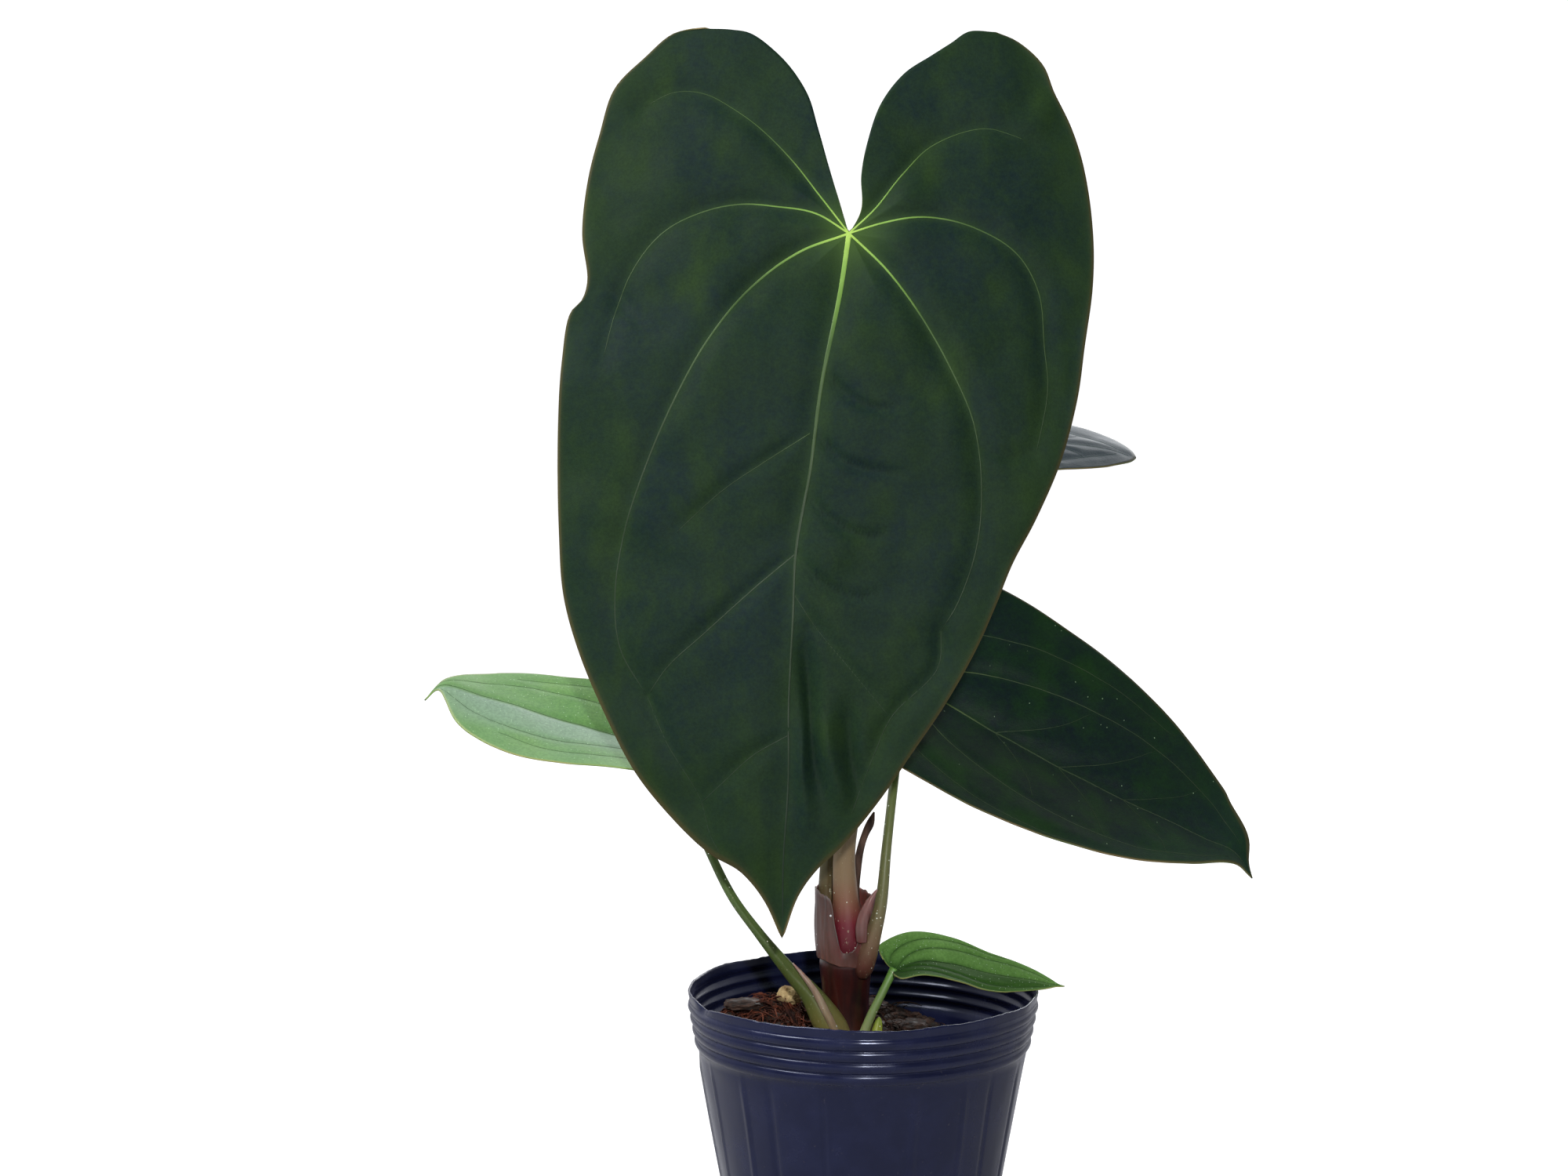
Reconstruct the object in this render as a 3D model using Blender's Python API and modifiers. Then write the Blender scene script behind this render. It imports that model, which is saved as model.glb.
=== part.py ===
"""A young velvet-leaved anthurium in a thin ribbed nursery pot.

Five heart-shaped blades stand on slender stalks round one short stem. The stem is rooted in a
loose coir and bark mix, and a papery sheath wraps its top. The row frame has +Z up, the viewer
on -Y, and its origin at the centre of the pot's flat base. Hand-set sizes are in millimetres.
"""

import math

import bmesh
import bpy
import numpy as np
from mathutils import Vector, noise

MM = 0.001
GAP = 0.4  # clearance between pieces that touch in the real plant

# The pot: a thin tapered cup with a ribbed collar.
POT_HEIGHT = 90.0
RIM_RADIUS = 52.5
BASE_RADIUS = 37.0
POT_WALL = 0.7
BASE_ROUNDING = 2.0
RIB_COUNT = 4
RIB_PITCH = 3.6
RIB_DEPTH = 0.8
RIB_TOP = 87.0
DRAIN_HOLES = 6
DRAIN_HOLE_RADIUS = 2.7
DRAIN_CIRCLE_RADIUS = 24.0
ROUND_STEPS = 48

# The growing mix: its usual level and the coir heap on the left of the stem.
MIX_LEVEL = 75.0
HEAP_CENTRE = (-28.0, 6.0)
HEAP_HEIGHT = 8.0
HEAP_RADIUS = 15.0
LOW_SIDE_DROP = 12.0

# The stem stands a little left of the pot's centre.
STEM_X = -5.0
STEM_TOP = 97.0
STEM_BASE = 44.0

BLADE_THICKNESS = 0.8
STALK_SIDES_RESOLUTION = 2


def clear_scene():
    for item in list(bpy.data.objects):
        bpy.data.objects.remove(item, do_unlink=True)


def collection(name):
    made = bpy.data.collections.new(name)
    bpy.context.scene.collection.children.link(made)
    return made


def finish(name, color, roughness):
    """A plain Principled material."""
    made = bpy.data.materials.new(name)
    made.use_nodes = True
    shader = made.node_tree.nodes["Principled BSDF"]
    shader.inputs["Base Color"].default_value = (*color, 1.0)
    shader.inputs["Roughness"].default_value = roughness
    shader.inputs["Metallic"].default_value = 0.0
    return made


def put(name, data, material, group):
    """A new object for this mesh or curve, in the collection, with its material."""
    made = bpy.data.objects.new(name, data)
    data.materials.append(material)
    group.objects.link(made)
    return made


def as_mesh(source, name, material, group):
    """The object with its modifiers and bevel applied, as a welded mesh object."""
    bpy.context.view_layer.update()
    graph = bpy.context.evaluated_depsgraph_get()
    mesh = bpy.data.meshes.new_from_object(source.evaluated_get(graph))
    edit = bmesh.new()
    edit.from_mesh(mesh)
    bmesh.ops.remove_doubles(edit, verts=edit.verts, dist=0.00001)
    bmesh.ops.recalc_face_normals(edit, faces=edit.faces)
    edit.to_mesh(mesh)
    edit.free()
    mesh.materials.clear()
    matrix = source.matrix_world.copy()
    bpy.data.objects.remove(source, do_unlink=True)
    made = put(name, mesh, material, group)
    made.matrix_world = matrix
    return made


def cutter(made):
    made.hide_render = True
    made.display_type = "WIRE"
    return made


def cut(body, tool):
    """Subtracts the tool from the body with an exact Boolean."""
    modifier = body.modifiers.new("cut_" + tool.name, "BOOLEAN")
    modifier.operation = "DIFFERENCE"
    modifier.object = tool


def turned(name, profile, material, group, steps=ROUND_STEPS, place=(0.0, 0.0)):
    """A solid or shell of revolution about a vertical axis; profile is (radius, height) in mm."""
    mesh = bpy.data.meshes.new(name)
    points = [(radius * MM, 0.0, height * MM) for radius, height in profile]
    mesh.from_pydata(points, [(i, i + 1) for i in range(len(points) - 1)], [])
    made = put(name, mesh, material, group)
    made.location = (place[0] * MM, place[1] * MM, 0.0)
    screw = made.modifiers.new("turn", "SCREW")
    screw.steps = steps
    screw.render_steps = steps
    screw.use_merge_vertices = True
    screw.merge_threshold = 0.00001
    return made


def smooth_line(points, count):
    """Evenly spaced points on a centripetal Catmull-Rom curve through the given points."""
    points = np.array(points, float)
    padded = np.vstack([2 * points[0] - points[1], points, 2 * points[-1] - points[-2]])
    found = []
    for i in range(1, len(padded) - 2):
        a, b, c, d = padded[i - 1 : i + 3]
        knots = [0.0]
        for first, second in ((a, b), (b, c), (c, d)):
            knots.append(knots[-1] + math.sqrt(np.linalg.norm(second - first)))
        k0, k1, k2, k3 = knots
        for t in np.linspace(k1, k2, 12, endpoint=False):
            ab = ((k1 - t) * a + (t - k0) * b) / (k1 - k0)
            bc = ((k2 - t) * b + (t - k1) * c) / (k2 - k1)
            cd = ((k3 - t) * c + (t - k2) * d) / (k3 - k2)
            abc = ((k2 - t) * ab + (t - k0) * bc) / (k2 - k0)
            bcd = ((k3 - t) * bc + (t - k1) * cd) / (k3 - k1)
            found.append(((k2 - t) * abc + (t - k1) * bcd) / (k2 - k1))
    found = np.array([*found, points[-1]])
    run = np.concatenate([[0], np.cumsum(np.linalg.norm(np.diff(found, axis=0), axis=1))])
    wanted = np.linspace(0, run[-1], count)
    return np.stack([np.interp(wanted, run, found[:, k]) for k in range(found.shape[1])], axis=1)


def stalk(name, route, material, group, count=18, swell=0.0, lead=0.0):
    """A tapered round stalk; route is (x, y, z, radius) in mm.

    A cutter for its channel is thicker by the swell and starts earlier by the lead.
    """
    line = smooth_line(route, count)
    line[0, :3] -= lead * unit(line[1, :3] - line[0, :3])
    curve = bpy.data.curves.new(name, "CURVE")
    curve.dimensions = "3D"
    curve.bevel_depth = MM
    curve.bevel_resolution = STALK_SIDES_RESOLUTION
    curve.use_fill_caps = True
    spline = curve.splines.new("POLY")
    spline.points.add(count - 1)
    for point, (x, y, z, radius) in zip(spline.points, line):
        point.co = (x * MM, y * MM, z * MM, 1.0)
        point.radius = radius + swell
    return put(name, curve, material, group)


# ---------------------------------------------------------------- the pot


def wall_radius(height):
    """Outer radius of the plain tapered wall at this height."""
    return BASE_RADIUS + (RIM_RADIUS - BASE_RADIUS) * height / POT_HEIGHT


def build_pot(material, group, cutters):
    """The outer skin from rim to base centre, thickened inwards, with round drain holes."""
    profile = [(wall_radius(POT_HEIGHT), POT_HEIGHT), (wall_radius(RIB_TOP), RIB_TOP)]
    for rib in range(RIB_COUNT):
        top = RIB_TOP - rib * RIB_PITCH
        for share, bulge in ((0.3, 1.0), (0.7, 1.0), (1.0, 0.0)):
            height = top - share * RIB_PITCH
            profile.append((wall_radius(height) + bulge * RIB_DEPTH, height))
    profile += [(wall_radius(45.0), 45.0), (wall_radius(BASE_ROUNDING), BASE_ROUNDING)]
    for step in (1, 2, 3):
        angle = step * math.pi / 6
        radius = BASE_RADIUS - BASE_ROUNDING * (1 - math.cos(angle))
        profile.append((radius, BASE_ROUNDING * (1 - math.sin(angle))))
    profile += [(DRAIN_CIRCLE_RADIUS, 0.0), (0.0, 0.0)]
    pot = turned("nursery_pot", profile, material, group)
    shell = pot.modifiers.new("wall", "SOLIDIFY")
    shell.thickness = POT_WALL * MM
    shell.offset = -1.0
    shell.use_even_offset = True
    for hole in range(DRAIN_HOLES):
        angle = 2 * math.pi * hole / DRAIN_HOLES
        drill_mesh = bpy.data.meshes.new(f"drill_{hole}")
        edit = bmesh.new()
        bmesh.ops.create_cone(
            edit,
            cap_ends=True,
            segments=16,
            radius1=DRAIN_HOLE_RADIUS * MM,
            radius2=DRAIN_HOLE_RADIUS * MM,
            depth=6 * MM,
        )
        edit.to_mesh(drill_mesh)
        edit.free()
        drill = cutter(put(f"drill_{hole}", drill_mesh, material, cutters))
        drill.location = (
            DRAIN_CIRCLE_RADIUS * math.cos(angle) * MM,
            DRAIN_CIRCLE_RADIUS * math.sin(angle) * MM,
            0.0,
        )
        cut(pot, drill)


# ---------------------------------------------------------------- mix, stem and roots


def mix_height(x, y):
    """Height of the mix's loose top at a place in the pot, in mm."""
    to_heap = math.hypot(x - HEAP_CENTRE[0], y - HEAP_CENTRE[1])
    heap = HEAP_HEIGHT * math.exp(-((to_heap / HEAP_RADIUS) ** 2))
    low_side = LOW_SIDE_DROP * min(1.0, max(0.0, (x - 6.0) / 40.0))
    lumps = 0.7 * noise.noise(Vector((x, y, 0.0)) / 9.0)
    to_stem = math.hypot(x - STEM_X, y)
    calm = min(1.0, max(0.0, (to_stem - 11.0) / 8.0))
    return MIX_LEVEL - 1.5 * (1 - calm) + calm * (heap + lumps) - low_side


STEM_PROFILE = [
    (0.0, 97.0), (6.9, 97.0), (7.4, 96.2), (7.6, 94.0), (7.1, 90.0), (6.8, 84.0), (7.2, 79.0),
    (7.6, 76.5), (6.8, 72.0), (6.0, 62.0), (5.0, 52.0), (3.4, 45.5), (1.5, 44.0), (0.0, 44.0),
]


def build_stem(material, group):
    return turned("stem", STEM_PROFILE, material, group, steps=24, place=(STEM_X, 0.0))


ROOT_COUNT = 6
ROOT_RADIUS = 1.4


def root_route(index):
    """From just off the buried stem out towards the wall, then down along it."""
    angle = 2 * math.pi * (index + 0.4) / ROOT_COUNT
    height = 66.0 - 3.0 * (index % 3)
    steps = (
        (7.4, height, ROOT_RADIUS),
        (14.0, height - 4.0, ROOT_RADIUS),
        (24.0, height - 16.0, ROOT_RADIUS * 0.9),
        (28.0 + (index % 2) * 3.0, height - 32.0, ROOT_RADIUS * 0.8),
        (24.0, 14.0 + 3.0 * (index % 3), ROOT_RADIUS * 0.6),
    )
    turn = 0.25 if index % 2 else -0.2
    route = []
    for number, (distance, level, radius) in enumerate(steps):
        bend = angle + turn * number / 2
        route.append((STEM_X + distance * math.cos(bend), distance * math.sin(bend), level, radius))
    return route


def build_mix_and_roots(mix_material, root_material, group, cutters):
    inner = POT_WALL + GAP + 0.3
    top_radii = (0.0, 9.0, 16.0, 24.0, 31.0, 38.0, 44.0)
    top_edge = (wall_radius(MIX_LEVEL) - inner, MIX_LEVEL)
    floor = POT_WALL + GAP
    profile = [(radius, MIX_LEVEL) for radius in top_radii] + [top_edge]
    profile += [(wall_radius(58.0) - inner, 58.0), (wall_radius(4.0) - inner, 4.0)]
    profile += [(wall_radius(floor) - inner - 1.6, floor), (0.0, floor)]
    draft = turned("mix_draft", profile, mix_material, cutters)
    mix = as_mesh(draft, "growing_mix", mix_material, group)
    for vertex in mix.data.vertices:
        if vertex.co.z > 70.0 * MM:
            x, y = vertex.co.x / MM, vertex.co.y / MM
            height = mix_height(x, y)
            reach = min(1.0, (wall_radius(height) - inner) / max(1.0, math.hypot(x, y)))
            vertex.co = (x * reach * MM, y * reach * MM, height * MM)
    socket_profile = [(0.0, 110.0), (8.1, 110.0)]
    socket_profile += [(radius + GAP, height) for radius, height in STEM_PROFILE[3:-1]]
    socket_profile += [(0.0, STEM_BASE - GAP)]
    draft = turned("socket_draft", socket_profile, mix_material, cutters, 24, (STEM_X, 0.0))
    socket = cutter(as_mesh(draft, "stem_socket", mix_material, cutters))
    cut(mix, socket)
    for index in range(ROOT_COUNT):
        route = root_route(index)
        stalk(f"root_{index + 1}", route, root_material, group, 12)
        draft = stalk("draft", route, mix_material, cutters, 12, swell=GAP, lead=2.5)
        cut(mix, cutter(as_mesh(draft, f"root_channel_{index + 1}", mix_material, cutters)))
    return mix


# ---------------------------------------------------------------- leaf stalks

STALKS = {
    "main_leaf_stalk": [
        (-5, -3.8, 97.6, 4.0), (-5, -4.0, 103, 4.3), (-5, -4.2, 110, 4.2), (-5, -4.6, 120, 3.4),
        (-5, -5, 133, 2.7), (-2, -6, 152, 2.4), (-1, -7, 175, 2.2), (0, -8, 222, 2.1),
        (-1, -7, 270, 2.1), (-3, -4, 300, 2.3), (-4, -2.2, 312, 2.6), (-4.6, -2.4, 316, 2.2),
    ],
    "back_leaf_stalk": [
        (-8.4, 3.4, 97.6, 2.4), (-9, 3.2, 106, 2.6), (-10.2, 3, 117, 2.2), (-10.4, 2, 131, 2.0),
        (-9, 1, 150, 1.8), (-9.5, 1, 170, 1.6), (-9, 5, 192, 1.5), (-5, 16, 214, 1.5),
        (0, 26, 229, 1.5), (5.4, 33, 239, 1.5),
    ],
    "right_leaf_stalk": [
        (2.6, -8.2, 94, 2.9), (3.2, -8.8, 99, 3.0), (4.2, -8.8, 106, 2.4), (5.2, -8, 118, 1.8),
        (6.6, -5, 134, 1.5), (9.4, 5, 153, 1.4), (12, 20, 168, 1.4), (13.6, 34, 175.4, 1.6),
    ],
    "left_leaf_stalk": [
        (-13.5, -7.0, 78, 3.1), (-16.5, -7.6, 84, 2.6), (-20, -8, 91.5, 2.2), (-24, -9, 101, 1.9),
        (-31.5, -9, 109.5, 1.7), (-39, -9, 120, 1.5), (-46, -8, 134, 1.4), (-52, -4.4, 148, 1.5),
        (-54.6, -0.8, 157.6, 1.6),
    ],
    "small_leaf_stalk": [
        (-0.4, -9.6, 77.6, 1.4), (2.4, -9, 84, 1.3), (5.4, -8, 90, 1.2), (8.2, -6.6, 95.4, 1.4),
    ],
}


def build_sheath(material, group, cutters):
    """The papery sheath round the stalks' feet, with a torn notch in front of the main stalk."""
    profile = [(9.4, 119.0), (9.9, 112.0), (9.9, 106.0), (9.2, 100.0), (8.2, 96.0)]
    sheath = turned("stem_sheath", profile, material, group, steps=32, place=(STEM_X, 0.0))
    shell = sheath.modifiers.new("film", "SOLIDIFY")
    shell.thickness = 0.5 * MM
    shell.offset = -1.0
    notch_mesh = bpy.data.meshes.new("notch")
    edit = bmesh.new()
    bmesh.ops.create_cone(
        edit, cap_ends=True, segments=24, radius1=4.6 * MM, radius2=4.6 * MM, depth=12 * MM
    )
    edit.to_mesh(notch_mesh)
    edit.free()
    notch = cutter(put("notch", notch_mesh, material, cutters))
    notch.location = ((STEM_X + 0.5) * MM, -10 * MM, 112 * MM)
    notch.rotation_euler = (math.pi / 2, 0.0, 0.0)
    notch.scale = (1.0, 2.1, 1.0)
    cut(sheath, notch)


def build_flap(name, root, tip, width, lean, material, group):
    """A thin pointed membrane beside a stalk: a tapered leaf-shaped film, edge on to the stalk."""
    mesh = bpy.data.meshes.new(name)
    edit = bmesh.new()
    bmesh.ops.create_grid(edit, x_segments=4, y_segments=8, size=1.0)
    root, tip, lean = Vector(root), Vector(tip), Vector(lean)
    for vertex in edit.verts:
        across, along = vertex.co.x, (vertex.co.y + 1) / 2
        half = width / 2 * max(0.12, math.sin(math.pi * min(1.0, 0.35 + 0.65 * along)))
        spot = root.lerp(tip, along) + lean * (across + 1) * half
        vertex.co = (spot + Vector((0, -0.6, 0)) * (1 - across * across)) * MM
    edit.to_mesh(mesh)
    edit.free()
    flap = put(name, mesh, material, group)
    shell = flap.modifiers.new("film", "SOLIDIFY")
    shell.thickness = 0.5 * MM
    shell.offset = 0.0


# ---------------------------------------------------------------- leaf blades

# A blade is laid out flat first: across from its midrib and along it from the stalk to the tip,
# with the two basal lobes behind the stalk at negative "along".
MAIN_LEFT = [
    (-48, -59), (-65, -49), (-75, -28), (-78, 5), (-75, 22), (-79, 32), (-80, 50), (-77, 90),
    (-70, 122), (-58, 147), (-34, 177), (-15, 189), (-6, 197), (0, 207),
]
MAIN_RIGHT = [
    (38, -66), (52, -59), (63, -40), (71, -13), (73, 12), (70, 45), (59, 80), (50, 106),
    (39, 135), (23, 165), (9, 185), (3, 195), (0, 207),
]
MAIN_SINUS_LEFT = [(0, 0), (-3, -7), (-8, -20), (-16, -41), (-24, -51), (-34, -58), (-48, -59)]
MAIN_SINUS_RIGHT = [(0, 0), (4, -8), (4, -24), (7, -38), (14, -49), (25, -59), (38, -66)]

# The other leaves share one heart outline, as shares of the half width and of the length. Its
# slim form tapers steadily; its full form keeps its width and narrows late, to a drip tip.
HEART_LOBE = [(-0.42, -0.19), (-0.68, -0.18), (-0.88, -0.10), (-0.99, 0.05), (-1.0, 0.22)]
HEART_SLIM = [(-0.92, 0.42), (-0.72, 0.64), (-0.42, 0.82), (-0.17, 0.92), (-0.05, 0.96), (0.0, 1.0)]
HEART_FULL = [(-0.98, 0.42), (-0.90, 0.62), (-0.60, 0.80), (-0.22, 0.90), (-0.04, 0.94), (0.0, 1.0)]
HEART_SINUS = [(0.0, 0.0), (-0.06, -0.04), (-0.14, -0.11), (-0.26, -0.17), (-0.42, -0.19)]


def heart(half_width, length, full=0.0, lobes=1.0):
    """The shared heart outline at this size, as the four border lines of a blade."""
    taper = [
        (a[0] * (1 - full) + b[0] * full, a[1] * (1 - full) + b[1] * full)
        for a, b in zip(HEART_SLIM, HEART_FULL)
    ]
    scaled = [
        [(x * half_width, (y * lobes if y < 0 else y) * length) for x, y in line]
        for line in (HEART_LOBE + taper, HEART_SINUS)
    ]
    return {
        "left": scaled[0],
        "right": [(-x, y) for x, y in scaled[0]],
        "sinus_left": scaled[1],
        "sinus_right": [(-x, y) for x, y in scaled[1]],
        "half_width": half_width,
        "length": length,
    }


LEAVES = {
    "main_leaf_blade": {
        "left": MAIN_LEFT,
        "right": MAIN_RIGHT,
        "sinus_left": MAIN_SINUS_LEFT,
        "sinus_right": MAIN_SINUS_RIGHT,
        "half_width": 78.0,
        "length": 207.0,
        "spine": [(-4.6, -6, 317.8), (-9, -22, 272), (-14, -33, 218), (-19, -40, 165),
                  (-24.3, -42, 114.9)],
        "side": [(0.995, 0, -0.094), (0.995, 0, -0.094)],
        "fold": [(0, 0), (0, 0)],
        "curl": (-9, -9),
        "grid": (44, 12),
    },
    "right_leaf_blade": {
        **heart(42.0, 124.0),
        "spine": [(14, 36, 179), (48, 25, 160.5), (82, 14, 144), (103, 8, 135), (112, 5, 131),
                  (117.5, 4, 123)],
        "side": [(0.42, 0.66, 0.63), (0.42, 0.66, 0.63)],
        "fold": [(24, 20), (14, 8)],
        "curl": (-3, -4),
        "grid": (30, 8),
    },
    "left_leaf_blade": {
        **heart(24.5, 80.0, full=1.0),
        "spine": [(-55, 0, 160.5), (-73, 0, 167.3), (-93, 0, 173), (-112, 0, 179),
                  (-126, 0, 182.5), (-131, 0, 178)],
        "side": [(0, -0.93, -0.37), (0, -0.93, -0.37)],
        "fold": [(22, -14), (22, -16)],
        "curl": (-1, -1),
        "grid": (26, 6),
    },
    "small_leaf_blade": {
        **heart(11.5, 54.0, lobes=0.15),
        "spine": [(9.4, -6, 97.6), (16.5, -4, 99.6), (27, -1, 98.2), (38, 0.5, 94.8),
                  (50, 1, 92.8), (61, 1, 90.5)],
        "side": [(-0.1, 0.91, 0.4), (0, 0.88, 0.47)],
        "fold": [(24, -4), (22, -2)],
        "curl": (-1, -1),
        "grid": (20, 5),
    },
    "back_leaf_blade": {
        **heart(24.0, 79.0, full=1.0),
        "spine": [(8, 34, 243), (32, 37, 250.5), (60, 40, 251.5), (76, 41, 249), (84.5, 41, 247)],
        "side": [(0, 0.93, 0.3), (0, 0.93, 0.3)],
        "fold": [(0, -4), (0, -4)],
        "curl": (-2, -2),
        "grid": (22, 6),
    },
}


def flat_blade(leaf, round_margin, outward):
    """Flat places of a fan of lines from the stalk to the margin; both inputs run from 0 to 1."""
    count = 160
    left = smooth_line(leaf["left"], count)
    right = smooth_line(leaf["right"], count)[::-1]
    margin = np.vstack([left, right[1:]])
    stations = np.linspace(0, 1, len(margin))
    edge = np.stack([np.interp(round_margin, stations, margin[:, k]) for k in (0, 1)], axis=1)
    flat = outward[:, None] * edge
    bows = (("sinus_left", 1 - round_margin), ("sinus_right", round_margin))
    for name, share in bows:
        sinus = smooth_line(leaf[name], count)
        shares = np.linspace(0, 1, count)
        spot = np.stack([np.interp(outward, shares, sinus[:, k]) for k in (0, 1)], axis=1)
        straight = outward[:, None] * sinus[-1]
        flat += (share**2)[:, None] * (spot - straight)
    return flat


def unit(vectors):
    return vectors / np.linalg.norm(vectors, axis=-1, keepdims=True)


def place_blade(leaf, flat):
    """Where flat blade places lie once the blade is arched along its spine, folded and curled."""
    length, stations = leaf["length"], 80
    spine = smooth_line(leaf["spine"], stations)
    forward = unit(np.gradient(spine, axis=0))
    stretch = np.linalg.norm(np.diff(spine, axis=0), axis=1).sum() / length
    across, along = flat[:, 0], flat[:, 1]
    share = np.clip(along / length, 0, 1)
    index = share * (stations - 1)
    known = np.arange(stations)
    base = np.stack([np.interp(index, known, spine[:, k]) for k in range(3)], axis=1)
    ahead = unit(np.stack([np.interp(index, known, forward[:, k]) for k in range(3)], axis=1))
    base += ahead * (np.minimum(along, 0) * stretch)[:, None]
    first, last = (np.array(side, float) for side in leaf["side"])
    side = first + (last - first) * share[:, None]
    side = unit(side - (side * ahead).sum(axis=1, keepdims=True) * ahead)
    upper = np.cross(ahead, side)
    halves = [start + (end - start) * share for start, end in leaf["fold"]]
    fold = np.radians(np.where(across < 0, halves[0], halves[1]))
    curl = np.where(across < 0, leaf["curl"][0], leaf["curl"][1])
    rise = np.abs(across) * np.sin(fold) + curl * (across / leaf["half_width"]) ** 2
    return base + side * (across * np.cos(fold))[:, None] + upper * rise[:, None]


def build_blade(name, leaf, material, group):
    """A grid shaped into the blade's fan of lines, closed at the stalk and given its thickness."""
    around, outward = leaf["grid"]
    mesh = bpy.data.meshes.new(name)
    edit = bmesh.new()
    bmesh.ops.create_grid(edit, x_segments=around, y_segments=outward, size=1.0)
    grid = np.array([vertex.co for vertex in edit.verts])
    shares = (grid[:, :2] + 1) / 2
    placed = place_blade(leaf, flat_blade(leaf, shares[:, 0], shares[:, 1]))
    for vertex, spot in zip(edit.verts, placed):
        vertex.co = Vector(spot) * MM
    bmesh.ops.remove_doubles(edit, verts=edit.verts, dist=0.00001)
    edit.to_mesh(mesh)
    edit.free()
    blade = put(name, mesh, material, group)
    shell = blade.modifiers.new("thickness", "SOLIDIFY")
    shell.thickness = BLADE_THICKNESS * MM
    shell.offset = 0.0
    mesh.shade_smooth()


# ---------------------------------------------------------------- loose pieces on the mix

# Each piece: centre in the pot (x, y), size along three axes and its turn about the vertical.
CHIPS = {
    "pumice_stone": ((-22.0, 8.0), (6.5, 5.0, 5.0), 20.0),
    "bark_chip_1": ((-36.0, 2.0), (11.0, 5.0, 3.0), 35.0),
    "bark_chip_2": ((-27.0, -14.0), (10.0, 5.0, 2.8), -25.0),
    "bark_chip_3": ((16.0, 14.0), (9.0, 6.0, 3.0), 65.0),
    "bark_chip_4": ((26.0, -8.0), (12.0, 5.0, 3.0), -10.0),
    "bark_chip_5": ((2.0, 30.0), (11.0, 6.0, 3.0), 15.0),
    "bark_chip_6": ((-18.0, 28.0), (10.0, 5.0, 2.8), 50.0),
    "bark_chip_7": ((8.0, -28.0), (10.0, 6.0, 2.8), 80.0),
    "perlite_grain_1": ((19.0, 2.0), (3.6, 3.2, 3.0), 0.0),
    "perlite_grain_2": ((34.0, 12.0), (3.4, 3.0, 2.8), 40.0),
    "perlite_grain_3": ((-12.0, -30.0), (3.6, 3.0, 2.8), 70.0),
}


def build_chip(name, material, group):
    """A faceted irregular lump laid on the mix, clear of it by the usual gap."""
    (x, y), size, turn = CHIPS[name]
    mesh = bpy.data.meshes.new(name)
    edit = bmesh.new()
    bmesh.ops.create_icosphere(edit, subdivisions=2, radius=0.5)
    angle = math.radians(turn)
    seed = Vector((x, y, 5.0))
    for vertex in edit.verts:
        boxy = Vector([math.copysign(abs(c) ** 0.7, c) for c in vertex.co])
        boxy *= 1 + 0.25 * noise.noise(boxy * 2.5 + seed)
        local = Vector([c * s for c, s in zip(boxy, size)])
        vertex.co = (
            (x + local.x * math.cos(angle) - local.y * math.sin(angle)) * MM,
            (y + local.x * math.sin(angle) + local.y * math.cos(angle)) * MM,
            local.z * MM,
        )
    lift = max(
        mix_height(v.co.x / MM, v.co.y / MM) + 2 * GAP - v.co.z / MM
        for v in edit.verts
        if v.co.z < 0
    )
    bmesh.ops.translate(edit, verts=edit.verts, vec=(0, 0, lift * MM))
    edit.to_mesh(mesh)
    edit.free()
    put(name, mesh, material, group)


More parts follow.
